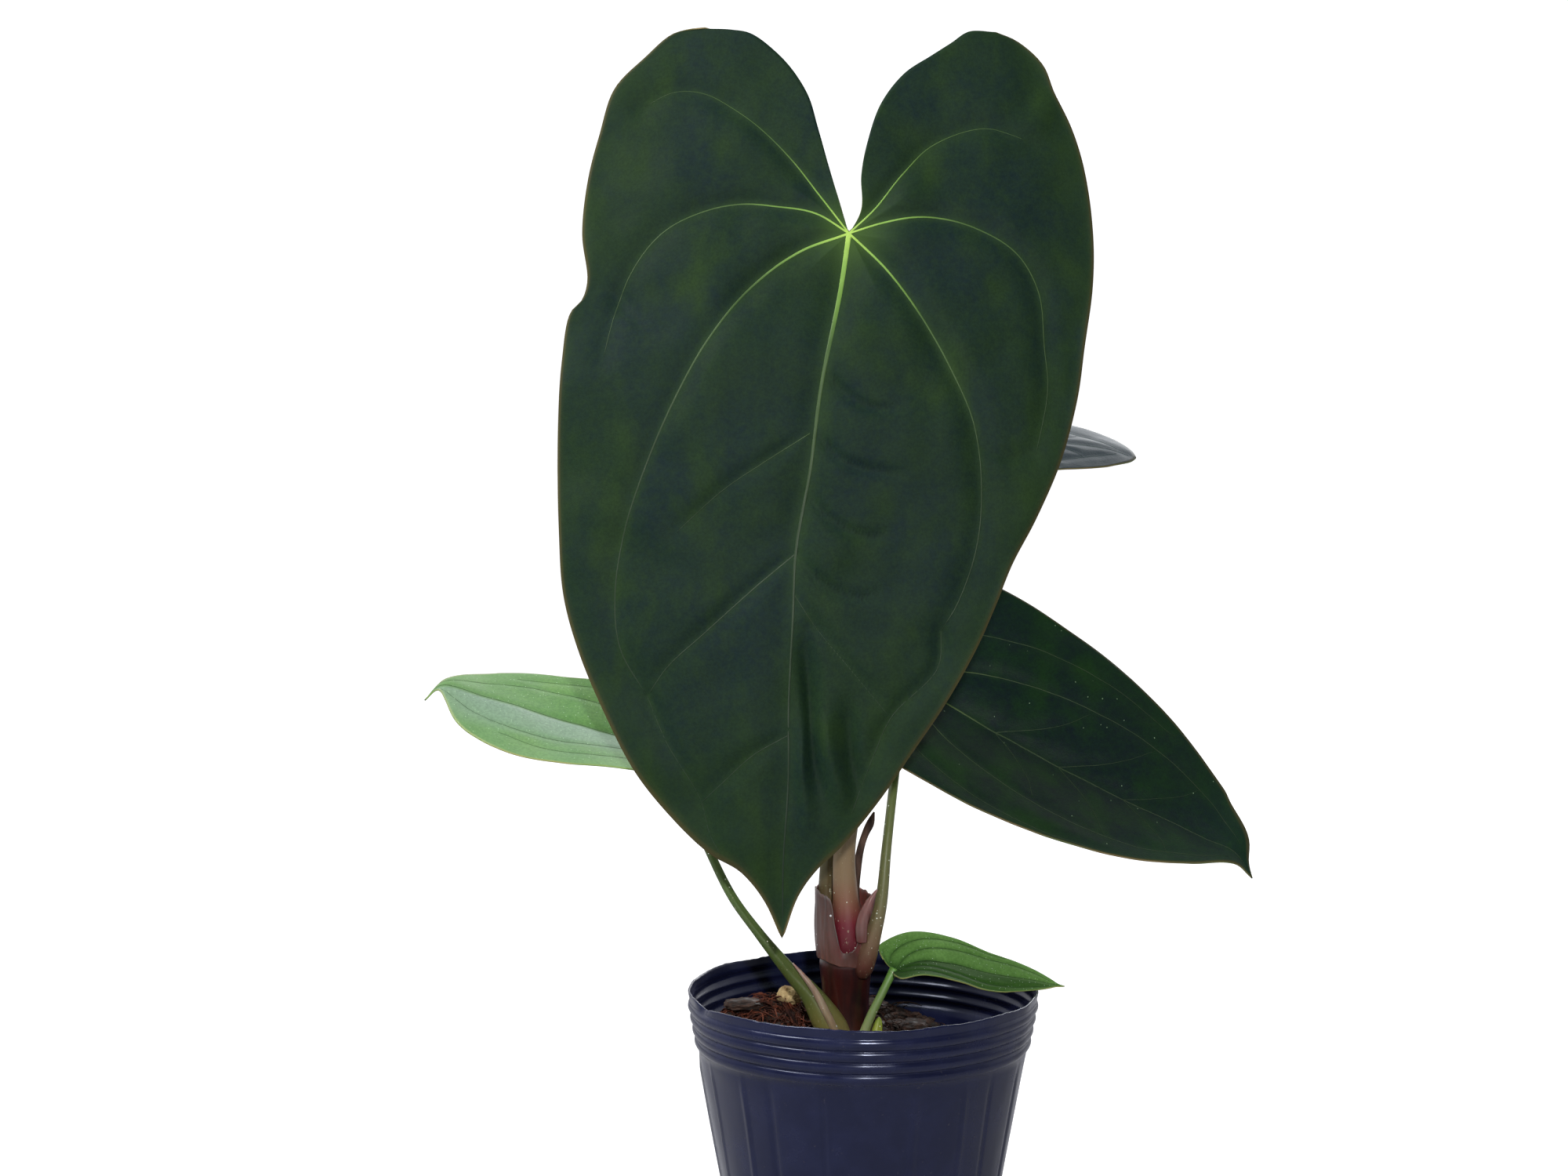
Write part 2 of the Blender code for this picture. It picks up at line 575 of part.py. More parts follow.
def main():
    clear_scene()
    plant = collection("potted_anthurium")
    cutters = collection("cutters")
    pot_film = finish("pot_film", (0.018, 0.02, 0.045), 0.35)
    coir = finish("coir_mix", (0.11, 0.045, 0.025), 0.95)
    stem_skin = finish("stem_skin", (0.09, 0.018, 0.012), 0.4)
    root_skin = finish("root_skin", (0.55, 0.45, 0.32), 0.7)
    main_stalk_skin = finish("main_stalk_skin", (0.28, 0.21, 0.11), 0.5)
    green_stalk_skin = finish("green_stalk_skin", (0.15, 0.2, 0.06), 0.5)
    sheath_film = finish("sheath_film", (0.35, 0.22, 0.2), 0.45)
    blade_finish = {
        "main_leaf_blade": finish("velvet_blade", (0.012, 0.045, 0.018), 0.7),
        "right_leaf_blade": finish("right_blade", (0.01, 0.035, 0.022), 0.65),
        "back_leaf_blade": finish("back_blade", (0.06, 0.1, 0.11), 0.6),
        "left_leaf_blade": finish("pale_blade", (0.16, 0.36, 0.14), 0.55),
        "small_leaf_blade": finish("fresh_blade", (0.09, 0.28, 0.05), 0.55),
    }
    chip_finish = {
        "bark": finish("bark", (0.12, 0.05, 0.03), 0.9),
        "pumice": finish("pumice", (0.55, 0.42, 0.24), 0.9),
        "perlite": finish("perlite", (0.75, 0.73, 0.68), 0.9),
    }

    build_pot(pot_film, plant, cutters)
    build_mix_and_roots(coir, root_skin, plant, cutters)
    build_stem(stem_skin, plant)
    build_sheath(sheath_film, plant, cutters)
    for name, route in STALKS.items():
        skin = main_stalk_skin if name in ("main_leaf_stalk", "back_leaf_stalk") else green_stalk_skin
        stalk(name, route, skin, plant, count=28)
    for name, leaf in LEAVES.items():
        build_blade(name, leaf, blade_finish[name], plant)
    build_flap(
        "right_stalk_flap", (1.0, -10.6, 103), (2.6, -10.2, 119), 3.4, (-0.95, 0, 0), sheath_film, plant
    )
    build_flap(
        "left_stalk_flap", (-12.4, -10.6, 80), (-20, -10.8, 97.5), 3.6, (0.85, 0.0, 0.4), sheath_film, plant
    )
    dried = finish("dried_sheath", (0.1, 0.06, 0.04), 0.7)
    stalk(
        "dried_sheath_strand",
        [
            (-3, 5.6, 98, 0.9), (-2.6, 7, 112, 1.1), (-1.4, 5, 128, 0.9), (1.2, 4, 138, 0.8),
            (3.2, 4, 143, 0.7),
        ],
        dried,
        plant,
        14,
    )
    shoot = finish("young_shoot", (0.45, 0.5, 0.08), 0.5)
    stalk(
        "basal_shoot",
        [(3.6, -8.4, 76.6, 1.3), (4.2, -8.6, 79.4, 1.5), (4.4, -8.4, 82.6, 0.5)],
        shoot,
        plant,
        8,
    )
    for name in CHIPS:
        build_chip(name, chip_finish[name.split("_")[0]], plant)


main()
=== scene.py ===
import math

import bpy
import numpy as np
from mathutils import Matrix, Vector, noise


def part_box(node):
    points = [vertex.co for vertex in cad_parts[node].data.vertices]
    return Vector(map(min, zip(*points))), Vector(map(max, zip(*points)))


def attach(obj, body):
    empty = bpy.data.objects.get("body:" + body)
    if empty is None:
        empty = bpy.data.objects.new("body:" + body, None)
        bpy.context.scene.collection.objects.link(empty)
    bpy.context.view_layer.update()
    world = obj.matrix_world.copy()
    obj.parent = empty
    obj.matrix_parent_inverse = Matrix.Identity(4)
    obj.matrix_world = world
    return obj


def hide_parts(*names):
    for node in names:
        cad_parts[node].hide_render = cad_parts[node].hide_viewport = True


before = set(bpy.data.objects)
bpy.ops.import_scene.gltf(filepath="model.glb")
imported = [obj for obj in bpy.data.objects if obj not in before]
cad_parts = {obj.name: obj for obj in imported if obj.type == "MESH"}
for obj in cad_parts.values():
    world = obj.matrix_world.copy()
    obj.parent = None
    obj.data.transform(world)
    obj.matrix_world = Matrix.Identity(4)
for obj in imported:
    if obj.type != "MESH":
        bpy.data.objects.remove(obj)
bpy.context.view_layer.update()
MM = 0.001

# ---------------------------------------------------------------- nursery pot
# A thin blown polyethylene film cup, blue-black and half glossy. Moulded ribs stiffen its collar,
# the rim is a rough hot cut that waves a little, and the base has round drain holes.

POT_HEIGHT = 90.0
RIM_RADIUS = 52.5
BASE_RADIUS = 37.0
POT_WALL = 0.55
RIB_TOP = 87.2
RIB_PITCH = 3.6
RIB_COUNT = 4
RIB_DEPTH = 0.85
DRAIN_CIRCLE = 24.0
DRAIN_RADIUS = 2.7


def shaped_grid(name, columns, rows, shape):
    """A grid primitive, its points moved to the places in mm that shape gives for (0..1, 0..1)."""
    bpy.ops.object.select_all(action="DESELECT")
    bpy.ops.mesh.primitive_grid_add(x_subdivisions=columns, y_subdivisions=rows, size=2)
    piece = bpy.context.object
    piece.name = piece.data.name = name
    grid = np.empty(len(piece.data.vertices) * 3)
    piece.data.vertices.foreach_get("co", grid)
    share = (grid.reshape(-1, 3)[:, :2] + 1) / 2
    places = shape(share[:, 0], share[:, 1])
    piece.data.vertices.foreach_set("co", (places * MM).ravel())
    piece.data.update()
    return piece


def mark(piece, name, values):
    """Stores one number for each point, for the piece's material to read."""
    made = piece.data.attributes.new(name, "FLOAT", "POINT")
    made.data.foreach_set("value", np.asarray(values, np.float32))


def weld(piece, outwards=True):
    """Merges the points that lie together, such as a seam or a pole, and smooths the shading."""
    bpy.ops.object.select_all(action="DESELECT")
    bpy.context.view_layer.objects.active = piece
    piece.select_set(True)
    bpy.ops.object.mode_set(mode="EDIT")
    bpy.ops.mesh.select_all(action="SELECT")
    bpy.ops.mesh.remove_doubles(threshold=0.004 * MM)
    if outwards:
        bpy.ops.mesh.normals_make_consistent(inside=False)
    bpy.ops.object.mode_set(mode="OBJECT")
    bpy.ops.object.shade_smooth()


def apply_all(piece):
    bpy.context.view_layer.objects.active = piece
    for modifier in list(piece.modifiers):
        bpy.ops.object.modifier_apply(modifier=modifier.name)


def give_wall(piece, thickness, offset=-1.0, inner_slot=0, rim_slot=0):
    """Turns an open sheet into a closed wall of this thickness in mm."""
    wall = piece.modifiers.new("wall", "SOLIDIFY")
    wall.thickness = thickness * MM
    wall.offset = offset
    wall.material_offset = inner_slot
    wall.material_offset_rim = rim_slot
    apply_all(piece)


def lumps(points, size, shift=0.0):
    """Smooth noise from -1 to 1 at each point, with lumps about this size in mm."""
    offset = Vector((shift, 2.3 * shift, 5.1 * shift))
    return np.array([noise.noise(Vector(point) / size + offset) for point in points])


def ring_points(angle, reach=1.0):
    """Points on a circle, so that noise read there closes on itself."""
    return np.stack([np.cos(angle) * reach, np.sin(angle) * reach, 0 * angle], axis=1)


def finish_piece(piece, slot, materials, *replaced):
    """Gives the piece its materials, sets it on the plant and hides the plain solids it stands for."""
    for material in materials:
        piece.data.materials.append(material)
    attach(piece, "root")
    if replaced:
        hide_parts(*replaced)


def plain_finish(name, **values):
    """A node material with plain values on its Principled shader's own sockets."""
    made = bpy.data.materials.new(name)
    made.use_nodes = True
    shader = made.node_tree.nodes["Principled BSDF"]
    for socket, value in values.items():
        shader.inputs[socket.replace("_", " ")].default_value = value
    return made, made.node_tree, shader


def add_node(tree, kind, inputs=None, **settings):
    """A shader node; each input is a value or another node's output."""
    made = tree.nodes.new("ShaderNode" + kind)
    for setting, value in settings.items():
        setattr(made, setting, value)
    for socket, value in (inputs or {}).items():
        if isinstance(value, bpy.types.NodeSocket):
            tree.links.new(value, made.inputs[socket])
        else:
            made.inputs[socket].default_value = value
    return made


def mix_color(tree, amount, first, second, blend="MIX"):
    """One colour where the amount is 0 and the other where it is 1."""
    made = add_node(
        tree, "Mix", {0: amount, 6: first, 7: second}, data_type="RGBA", blend_type=blend
    )
    return made.outputs[2]


def calculate(tree, operation, first, second=0.5, clamp=False):
    made = add_node(tree, "Math", {0: first, 1: second}, operation=operation, use_clamp=clamp)
    return made.outputs[0]


def rgb(red, green, blue):
    return (red, green, blue, 1.0)


def group_tree(name, inputs, outputs):
    """An empty shader node group with these named float inputs and these outputs."""
    tree = bpy.data.node_groups.new(name, "ShaderNodeTree")
    for socket, value in inputs.items():
        made = tree.interface.new_socket(socket, in_out="INPUT", socket_type="NodeSocketFloat")
        made.default_value = value
    for socket, kind in outputs.items():
        tree.interface.new_socket(socket, in_out="OUTPUT", socket_type="NodeSocket" + kind)
    return tree, tree.nodes.new("NodeGroupInput"), tree.nodes.new("NodeGroupOutput")


def patches_group():
    """Soft uneven patches, from 0 to 1. Stretch draws them out along the height."""
    tree, given, result = group_tree(
        "soft_patches",
        {"Per Metre": 60.0, "Low": 0.4, "High": 0.6, "Stretch": 1.0, "Shift": 0.0},
        {"Amount": "Float"},
    )
    place = add_node(tree, "TexCoord").outputs["Object"]
    flat = add_node(tree, "CombineXYZ", {"X": 1.0, "Y": 1.0, "Z": given.outputs["Stretch"]})
    moved = add_node(tree, "VectorMath", {0: place, 1: flat.outputs[0]}, operation="MULTIPLY")
    cloud = add_node(
        tree,
        "TexNoise",
        {"Vector": moved.outputs[0], "W": given.outputs["Shift"], "Scale": given.outputs["Per Metre"]},
        noise_dimensions="4D",
    )
    cloud.inputs["Detail"].default_value = 5.0
    ranged = add_node(
        tree,
        "MapRange",
        {
            "Value": cloud.outputs["Fac"],
            "From Min": given.outputs["Low"],
            "From Max": given.outputs["High"],
        },
    )
    tree.links.new(ranged.outputs[0], result.inputs["Amount"])
    return tree


def grain_group():
    """A fine raised grain, as a normal: rounded cells with a finer noise over them."""
    tree, given, result = group_tree(
        "skin_grain", {"Per Metre": 1500.0, "Height": 0.00003, "Stretch": 1.0}, {"Normal": "Vector"}
    )
    place = add_node(tree, "TexCoord").outputs["Object"]
    flat = add_node(tree, "CombineXYZ", {"X": 1.0, "Y": 1.0, "Z": given.outputs["Stretch"]})
    moved = add_node(tree, "VectorMath", {0: place, 1: flat.outputs[0]}, operation="MULTIPLY")
    cells = add_node(
        tree, "TexVoronoi", {"Vector": moved.outputs[0], "Scale": given.outputs["Per Metre"]}
    )
    cells.feature = "SMOOTH_F1"
    fine = calculate(tree, "MULTIPLY", given.outputs["Per Metre"], 0.45)
    cloud = add_node(tree, "TexNoise", {"Vector": moved.outputs[0], "Scale": fine})
    height = calculate(tree, "ADD", cells.outputs["Distance"], cloud.outputs["Fac"])
    bump = add_node(
        tree,
        "Bump",
        {"Height": height, "Distance": given.outputs["Height"], "Strength": 1.0},
    )
    tree.links.new(bump.outputs[0], result.inputs["Normal"])
    return tree


SOFT_PATCHES = patches_group()
SKIN_GRAIN = grain_group()


def patches(tree, per_metre, low, high, stretch=1.0, shift=0.0):
    made = add_node(
        tree,
        "Group",
        {},
        node_tree=SOFT_PATCHES,
    )
    for socket, value in zip(made.inputs, (per_metre, low, high, stretch, shift)):
        socket.default_value = value
    return made.outputs["Amount"]


def grain(tree, per_metre, height_mm, stretch=1.0):
    made = add_node(tree, "Group", {}, node_tree=SKIN_GRAIN)
    for socket, value in zip(made.inputs, (per_metre, height_mm * MM, stretch)):
        socket.default_value = value
    return made.outputs["Normal"]


def pot_profile():
    """(radius, height, rib share) from the rim down the wall and under the base to its centre."""
    heights = np.concatenate([
        np.linspace(POT_HEIGHT, RIB_TOP, 6)[:-1],
        np.linspace(RIB_TOP, RIB_TOP - RIB_COUNT * RIB_PITCH, RIB_COUNT * 14 + 1),
        np.linspace(RIB_TOP - RIB_COUNT * RIB_PITCH - 2, 2.0, 30),
    ])
    radius = BASE_RADIUS + (RIM_RADIUS - BASE_RADIUS) * heights / POT_HEIGHT
    step = (RIB_TOP - heights) / RIB_PITCH
    ribbed = (step > 0) & (step < RIB_COUNT)
    wave = np.where(ribbed, np.abs(np.sin(math.pi * step)) ** 0.75, 0.0)
    rows = list(zip(radius + RIB_DEPTH * wave, heights))
    for turn in (0.2, 0.5, 0.8, 1.0):
        angle = turn * math.pi / 2
        rows.append((BASE_RADIUS - 2.0 * (1 - math.cos(angle)), 2.0 * (1 - math.sin(angle))))
    rows += [(radius, 0.0) for radius in (31.0, 28.0, 20.0, 12.0, 0.0)]
    return np.array(rows)


def pot_shape(around, down):
    profile = pot_profile()
    row = np.rint(down * (len(profile) - 1)).astype(int)
    radius, height = profile[row, 0], profile[row, 1]
    angle = 2 * math.pi * around
    high = np.clip(height / POT_HEIGHT, 0, 1)
    soft = lumps(ring_points(angle, 1.3), 1.0, 3.0) * 1.3 * high**4
    soft += lumps(ring_points(angle, 6.0), 1.0, 7.0) * 0.35 * high**6
    creases = np.zeros_like(angle)
    for index in range(19):
        at = 2 * math.pi * ((index * 0.618) % 1)
        width = 0.009 + 0.006 * (index % 3)
        gap = np.abs((angle - at + math.pi) % (2 * math.pi) - math.pi)
        creases += (0.55 if index % 2 else -0.5) * np.exp(-((gap / width) ** 2))
    wall = np.clip((72.0 - height) / 6, 0, 1) * np.clip((height - 4) / 20, 0, 1)
    wide = lumps(np.stack([np.cos(angle) * 2.2, np.sin(angle) * 2.2, height / 40], axis=1), 1.0, 1.0)
    radius = np.where(radius > 0, radius + soft + creases * wall + wide * 0.6 * wall, 0)
    ragged = 0.55 * lumps(ring_points(angle, 4.0), 1.0, 11.0) + 0.22 * lumps(ring_points(angle, 24.0), 1.0)
    kink = np.exp(-(((angle - 3.55 + math.pi) % (2 * math.pi) - math.pi) / 0.07) ** 2)
    lip = np.clip((height - 86.5) / 3.5, 0, 1)
    height = height + lip * (ragged - 1.2 * kink)
    radius = radius - lip * kink * 1.6
    return np.stack([radius * np.cos(angle), radius * np.sin(angle), height], axis=1)


def pot_film():
    """Blue-black film: half gloss, faintly scuffed, with a pale bloom where it is seen edge on."""
    made, tree, shader = plain_finish(
        "pot_film",
        Specular_IOR_Level=0.4,
        Specular_Tint=rgb(0.75, 0.8, 1.0),
        Sheen_Weight=0.04,
        Sheen_Roughness=0.3,
        Sheen_Tint=rgb(0.55, 0.58, 1.0),
    )
    scuffs = patches(tree, 90.0, 0.45, 0.75)
    base = mix_color(tree, scuffs, rgb(0.007, 0.009, 0.032), rgb(0.011, 0.014, 0.047))
    dust = patches(tree, 700.0, 0.66, 0.74, shift=2.0)
    base = mix_color(tree, calculate(tree, "MULTIPLY", dust, 0.25), base, rgb(0.12, 0.1, 0.09))
    tree.links.new(base, shader.inputs["Base Color"])
    gloss = add_node(tree, "MapRange", {"Value": scuffs, "To Min": 0.2, "To Max": 0.34})
    tree.links.new(gloss.outputs[0], shader.inputs["Roughness"])
    tree.links.new(grain(tree, 160.0, 0.12, 0.35), shader.inputs["Normal"])
    return made


pot = shaped_grid("pot_shell", 360, len(pot_profile()) - 1, pot_shape)
weld(pot, outwards=False)
bpy.ops.object.mode_set(mode="EDIT")
bpy.ops.mesh.select_all(action="SELECT")
bpy.ops.mesh.normals_make_consistent(inside=False)
bpy.ops.object.mode_set(mode="OBJECT")
give_wall(pot, POT_WALL)
for hole in range(6):
    bpy.ops.object.select_all(action="DESELECT")
    angle = 2 * math.pi * hole / 6
    bpy.ops.mesh.primitive_cylinder_add(
        vertices=28,
        radius=DRAIN_RADIUS * MM,
        depth=6 * MM,
        location=(DRAIN_CIRCLE * math.cos(angle) * MM, DRAIN_CIRCLE * math.sin(angle) * MM, 0),
    )
    punch = bpy.context.object
    cut = pot.modifiers.new("drain", "BOOLEAN")
    cut.object = punch
    cut.solver = "EXACT"
    apply_all(pot)
    bpy.data.objects.remove(punch, do_unlink=True)
finish_piece(pot, "pot_film", [pot_film()], "nursery_pot")

# ---------------------------------------------------------------- growing mix
# Damp coir fibre, fine bark and a little perlite, poured in loose. It lies lower on the right, and
# a tuft of red-brown coir is heaped on the left of the stem.

MIX_LEVEL = 75.0
HEAP_AT = (-28.0, 6.0)
STEM_X = -5.0


def mix_top(x, y):
    """Height in mm of the mix at each place."""
    heap = 8.0 * np.exp(-((x - HEAP_AT[0]) ** 2 + (y - HEAP_AT[1]) ** 2) / 15.0**2)
    near = np.clip((np.hypot(x - STEM_X, y) - 11.0) / 8.0, 0, 1)
    points = np.stack([x, y, 0 * x], axis=1)
    broad = 0.7 * lumps(points, 9.0)
    low_side = 12.0 * np.clip((x - 6.0) / 40.0, 0, 1)
    return MIX_LEVEL - 1.5 * (1 - near) + near * (heap + broad) - low_side


def mix_shape(around, down):
    angle = 2 * math.pi * around
    top = np.clip(down / 0.62, 0, 1)
    side = np.clip((down - 0.62) / 0.3, 0, 1)
    floor = np.clip((down - 0.92) / 0.08, 0, 1)
    edge = 48.6 - 2.1 * np.clip((np.cos(angle) * 48.6 - 6.0) / 40.0, 0, 1)
    radius = np.where(down <= 0.62, edge * top, edge - side * (edge - 36.0))
    radius = np.where(down > 0.92, 36.0 * (1 - floor), radius)
    x, y = radius * np.cos(angle), radius * np.sin(angle)
    points = np.stack([x, y, 0 * x], axis=1)
    rough = 1.3 * lumps(points, 3.2, 4.0) + 0.7 * lumps(points, 1.4, 9.0)
    surface = mix_top(x, y) + rough * np.clip(edge - radius, 0, 4) / 4
    height = np.where(down <= 0.62, surface, surface * (1 - side) + 1.3 * side)
    return np.stack([x, y, np.where(down > 0.92, 1.3, height)], axis=1)


def coir_finish(name, dark, red):
    """Matted damp fibre: near black in its hollows and red-brown where the strands catch light."""
    made, tree, shader = plain_finish(name, Roughness=0.9, Specular_IOR_Level=0.25)
    base = mix_color(tree, patches(tree, 260.0, 0.4, 0.62), dark, red)
    light = patches(tree, 1300.0, 0.6, 0.75, shift=3.0)
    base = mix_color(tree, calculate(tree, "MULTIPLY", light, 0.3), base, rgb(0.33, 0.15, 0.07))
    tree.links.new(base, shader.inputs["Base Color"])
    tree.links.new(grain(tree, 900.0, 0.35), shader.inputs["Normal"])
    return made


mix = shaped_grid("mix_fill", 150, 110, mix_shape)
weld(mix)
coir_dark = coir_finish("coir_dark", rgb(0.012, 0.007, 0.006), rgb(0.055, 0.02, 0.012))
finish_piece(mix, "coir_mix", [coir_dark], "growing_mix")


def strand_cloud(name, routes, radii):
    """Many three-sided strands in one mesh; each route is a list of places in mm."""
    points, faces = [], []
    for route, radius in zip(routes, radii):
        route = np.asarray(route)
        ahead = np.gradient(route, axis=0)
        ahead /= np.linalg.norm(ahead, axis=1, keepdims=True)
        side = np.cross(ahead, (0.3, 0.2, 0.93))
        side /= np.linalg.norm(side, axis=1, keepdims=True)
        upper = np.cross(side, ahead)
        first = len(points)
        for row in range(len(route)):
            slim = radius * (1 - 0.5 * abs(2 * row / (len(route) - 1) - 1))
            for corner in range(3):
                turn = 2 * math.pi * corner / 3
                points.append(route[row] + slim * (side[row] * math.cos(turn) + upper[row] * math.sin(turn)))
        for row in range(len(route) - 1):
            for corner in range(3):
                a = first + 3 * row + corner
                b = first + 3 * row + (corner + 1) % 3
                faces.append((a, b, b + 3, a + 3))
        faces.append((first + 2, first + 1, first))
        last = first + 3 * (len(route) - 1)
        faces.append((last, last + 1, last + 2))
    mesh = bpy.data.meshes.new(name)
    mesh.from_pydata([tuple(point * MM) for point in points], [], faces)
    mesh.shade_smooth()
    piece = bpy.data.objects.new(name, mesh)
    bpy.context.scene.collection.objects.link(piece)
    return piece


def coir_routes(count, centre, spread, seed, length):
    """Curved fibres lying over the mix round a centre, some of them sticking up."""
    chance = np.random.default_rng(seed)
    routes, radii = [], []
    while len(routes) < count:
        x, y = chance.normal(centre[0], spread), chance.normal(centre[1], spread)
        long = chance.uniform(*length)
        heading = chance.uniform(0, 2 * math.pi)
        bend = chance.normal(0, 0.35)
        t = np.linspace(0, 1, 7)
        turn = heading + bend * 2.5 * t
        xs = x + np.cumsum(np.cos(turn)) * long / 7
        ys = y + np.cumsum(np.sin(turn)) * long / 7
        rise = chance.uniform(0.2, 1.6) + chance.choice([0.0, 0.0, 0.0, 2.6]) * t
        arch = chance.uniform(0.2, 1.6) * np.sin(math.pi * t)
        if np.hypot(xs, ys).max() > 46.5 or np.hypot(xs - STEM_X, ys).min() < 10.5:
            continue
        routes.append(np.stack([xs, ys, mix_top(xs, ys) + rise + arch], axis=1))
        radii.append(chance.uniform(0.13, 0.34))
    return routes, radii


coir_red = coir_finish("coir_red", rgb(0.025, 0.008, 0.006), rgb(0.17, 0.045, 0.022))
tuft = strand_cloud("coir_tuft", *coir_routes(520, (HEAP_AT[0] + 1, HEAP_AT[1] - 1), 8.0, 4, (4, 13)))
finish_piece(tuft, "coir_mix", [coir_red])
coir_brown = coir_finish("coir_brown", rgb(0.014, 0.008, 0.006), rgb(0.05, 0.02, 0.012))
loose = strand_cloud("coir_strands", *coir_routes(260, (4.0, 2.0), 24.0, 9, (4, 15)))
finish_piece(loose, "coir_mix", [coir_brown])


def crumb_cloud(name, count, size, seed, rise=0.4):
    """Many small faceted lumps strewn over the mix, in one mesh."""
    bpy.ops.object.select_all(action="DESELECT")
    bpy.ops.mesh.primitive_ico_sphere_add(subdivisions=1, radius=0.5)
    ball = bpy.context.object
    corners = np.array([vertex.co for vertex in ball.data.vertices])
    sides = [tuple(face.vertices) for face in ball.data.polygons]
    bpy.data.objects.remove(ball, do_unlink=True)
    chance = np.random.default_rng(seed)
    points, faces = [], []
    while len(faces) < count * len(sides):
        reach = 47.0 * math.sqrt(chance.uniform())
        heading = chance.uniform(0, 2 * math.pi)
        x, y = reach * math.cos(heading), reach * math.sin(heading)
        scale = chance.uniform(*size) * np.array([1.0, chance.uniform(0.4, 0.8), chance.uniform(0.3, 0.6)])
        if reach + scale[0] / 2 > 47.2 or math.hypot(x - STEM_X, y) < 10.5 + scale[0] / 2:
            continue
        lump = corners * (1 + chance.uniform(-0.28, 0.28, (len(corners), 1))) * scale
        tilt = chance.uniform(0, 2 * math.pi)
        turned = lump.copy()
        turned[:, 0] = lump[:, 0] * math.cos(tilt) - lump[:, 1] * math.sin(tilt)
        turned[:, 1] = lump[:, 0] * math.sin(tilt) + lump[:, 1] * math.cos(tilt)
        height = float(mix_top(np.array([x]), np.array([y]))[0]) + rise * scale[2] + 0.3
        first = len(points)
        points += [tuple((corner + (x, y, height)) * MM) for corner in turned]
        faces += [tuple(first + index for index in side) for side in sides]
    mesh = bpy.data.meshes.new(name)
    mesh.from_pydata(points, [], faces)
    piece = bpy.data.objects.new(name, mesh)
    bpy.context.scene.collection.objects.link(piece)
    return piece


def bark_finish(name, dark, brown):
    """Damp bark: layered brown, darker in its cracks, with a wet glint here and there."""
    made, tree, shader = plain_finish(name, Specular_IOR_Level=0.4)
    layers = patches(tree, 420.0, 0.38, 0.62, 3.0)
    tree.links.new(mix_color(tree, layers, dark, brown), shader.inputs["Base Color"])
    wet = add_node(
        tree, "MapRange", {"Value": patches(tree, 300.0, 0.5, 0.7, shift=6.0), "To Min": 0.85, "To Max": 0.3}
    )
    tree.links.new(wet.outputs[0], shader.inputs["Roughness"])
    tree.links.new(grain(tree, 700.0, 0.25, 2.5), shader.inputs["Normal"])
    return made


bark = bark_finish("bark", rgb(0.01, 0.006, 0.005), rgb(0.06, 0.028, 0.018))
crumbs = crumb_cloud("bark_crumbs", 620, (1.2, 5.5), 21)
finish_piece(crumbs, "bark", [bark])

# ---------------------------------------------------------------- stones and bark chips
# Larger pieces lie loose on the mix: one cream pumice stone by the left stalk, flakes of fir bark
# and a few white perlite grains. Each is one rough closed lump.


def stone_finish(name, pale, stain, per_metre):
    """Porous mineral: pale, stained by the mix, full of small pits."""
    made, tree, shader = plain_finish(name, Roughness=0.92, Specular_IOR_Level=0.2)
    base = mix_color(tree, patches(tree, 330.0, 0.42, 0.66), pale, stain)
    tree.links.new(base, shader.inputs["Base Color"])
    tree.links.new(grain(tree, per_metre, 0.3), shader.inputs["Normal"])
    return made


def rough_lump(node, material, slot, roughness, faceted):
    """A subdivided primitive filling a plain solid's box, made rough and a little boxy."""
    low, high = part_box(node)
    centre, size = (low + high) / 2 / MM, (high - low) / MM
    bpy.ops.object.select_all(action="DESELECT")
    bpy.ops.mesh.primitive_ico_sphere_add(subdivisions=5, radius=0.5)
    piece = bpy.context.object
    piece.name = piece.data.name = node + "_look"
    source = bpy.data.objects[node].data
    turn = source.vertices[0].co.x
    points = np.array([vertex.co for vertex in piece.data.vertices])
    boxy = np.sign(points) * np.abs(points) ** (0.8 if faceted else 0.95)
    big = lumps(boxy * 10, 3.6, turn * 900)
    small = lumps(boxy * 10, 1.0, turn * 500)
    boxy *= (1 + roughness * (0.8 * big + 0.35 * small))[:, None]
    boxy *= 0.5 / np.abs(boxy).max(axis=0)
    places = boxy * np.array(size) + np.array(centre)
    piece.data.vertices.foreach_set("co", (places * MM).ravel())
    weld(piece)
    finish_piece(piece, slot, [material], node)


pumice = stone_finish("pumice", rgb(0.62, 0.47, 0.24), rgb(0.3, 0.17, 0.07), 1400.0)
perlite = stone_finish("perlite", rgb(0.72, 0.7, 0.66), rgb(0.42, 0.36, 0.28), 2200.0)
for node in sorted(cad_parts):
    if node.startswith("bark_chip"):
        rough_lump(node, bark, "bark", 0.3, True)
    elif node.startswith("perlite"):
        rough_lump(node, perlite, "perlite", 0.25, False)
    elif node == "pumice_stone":
        rough_lump(node, pumice, "pumice", 0.3, False)

# ---------------------------------------------------------------- stem and roots
# One short upright stem, smooth and wet-looking dark red-brown, with a raised ring at each node.
# Its pale roots run out through the mix, out of sight.


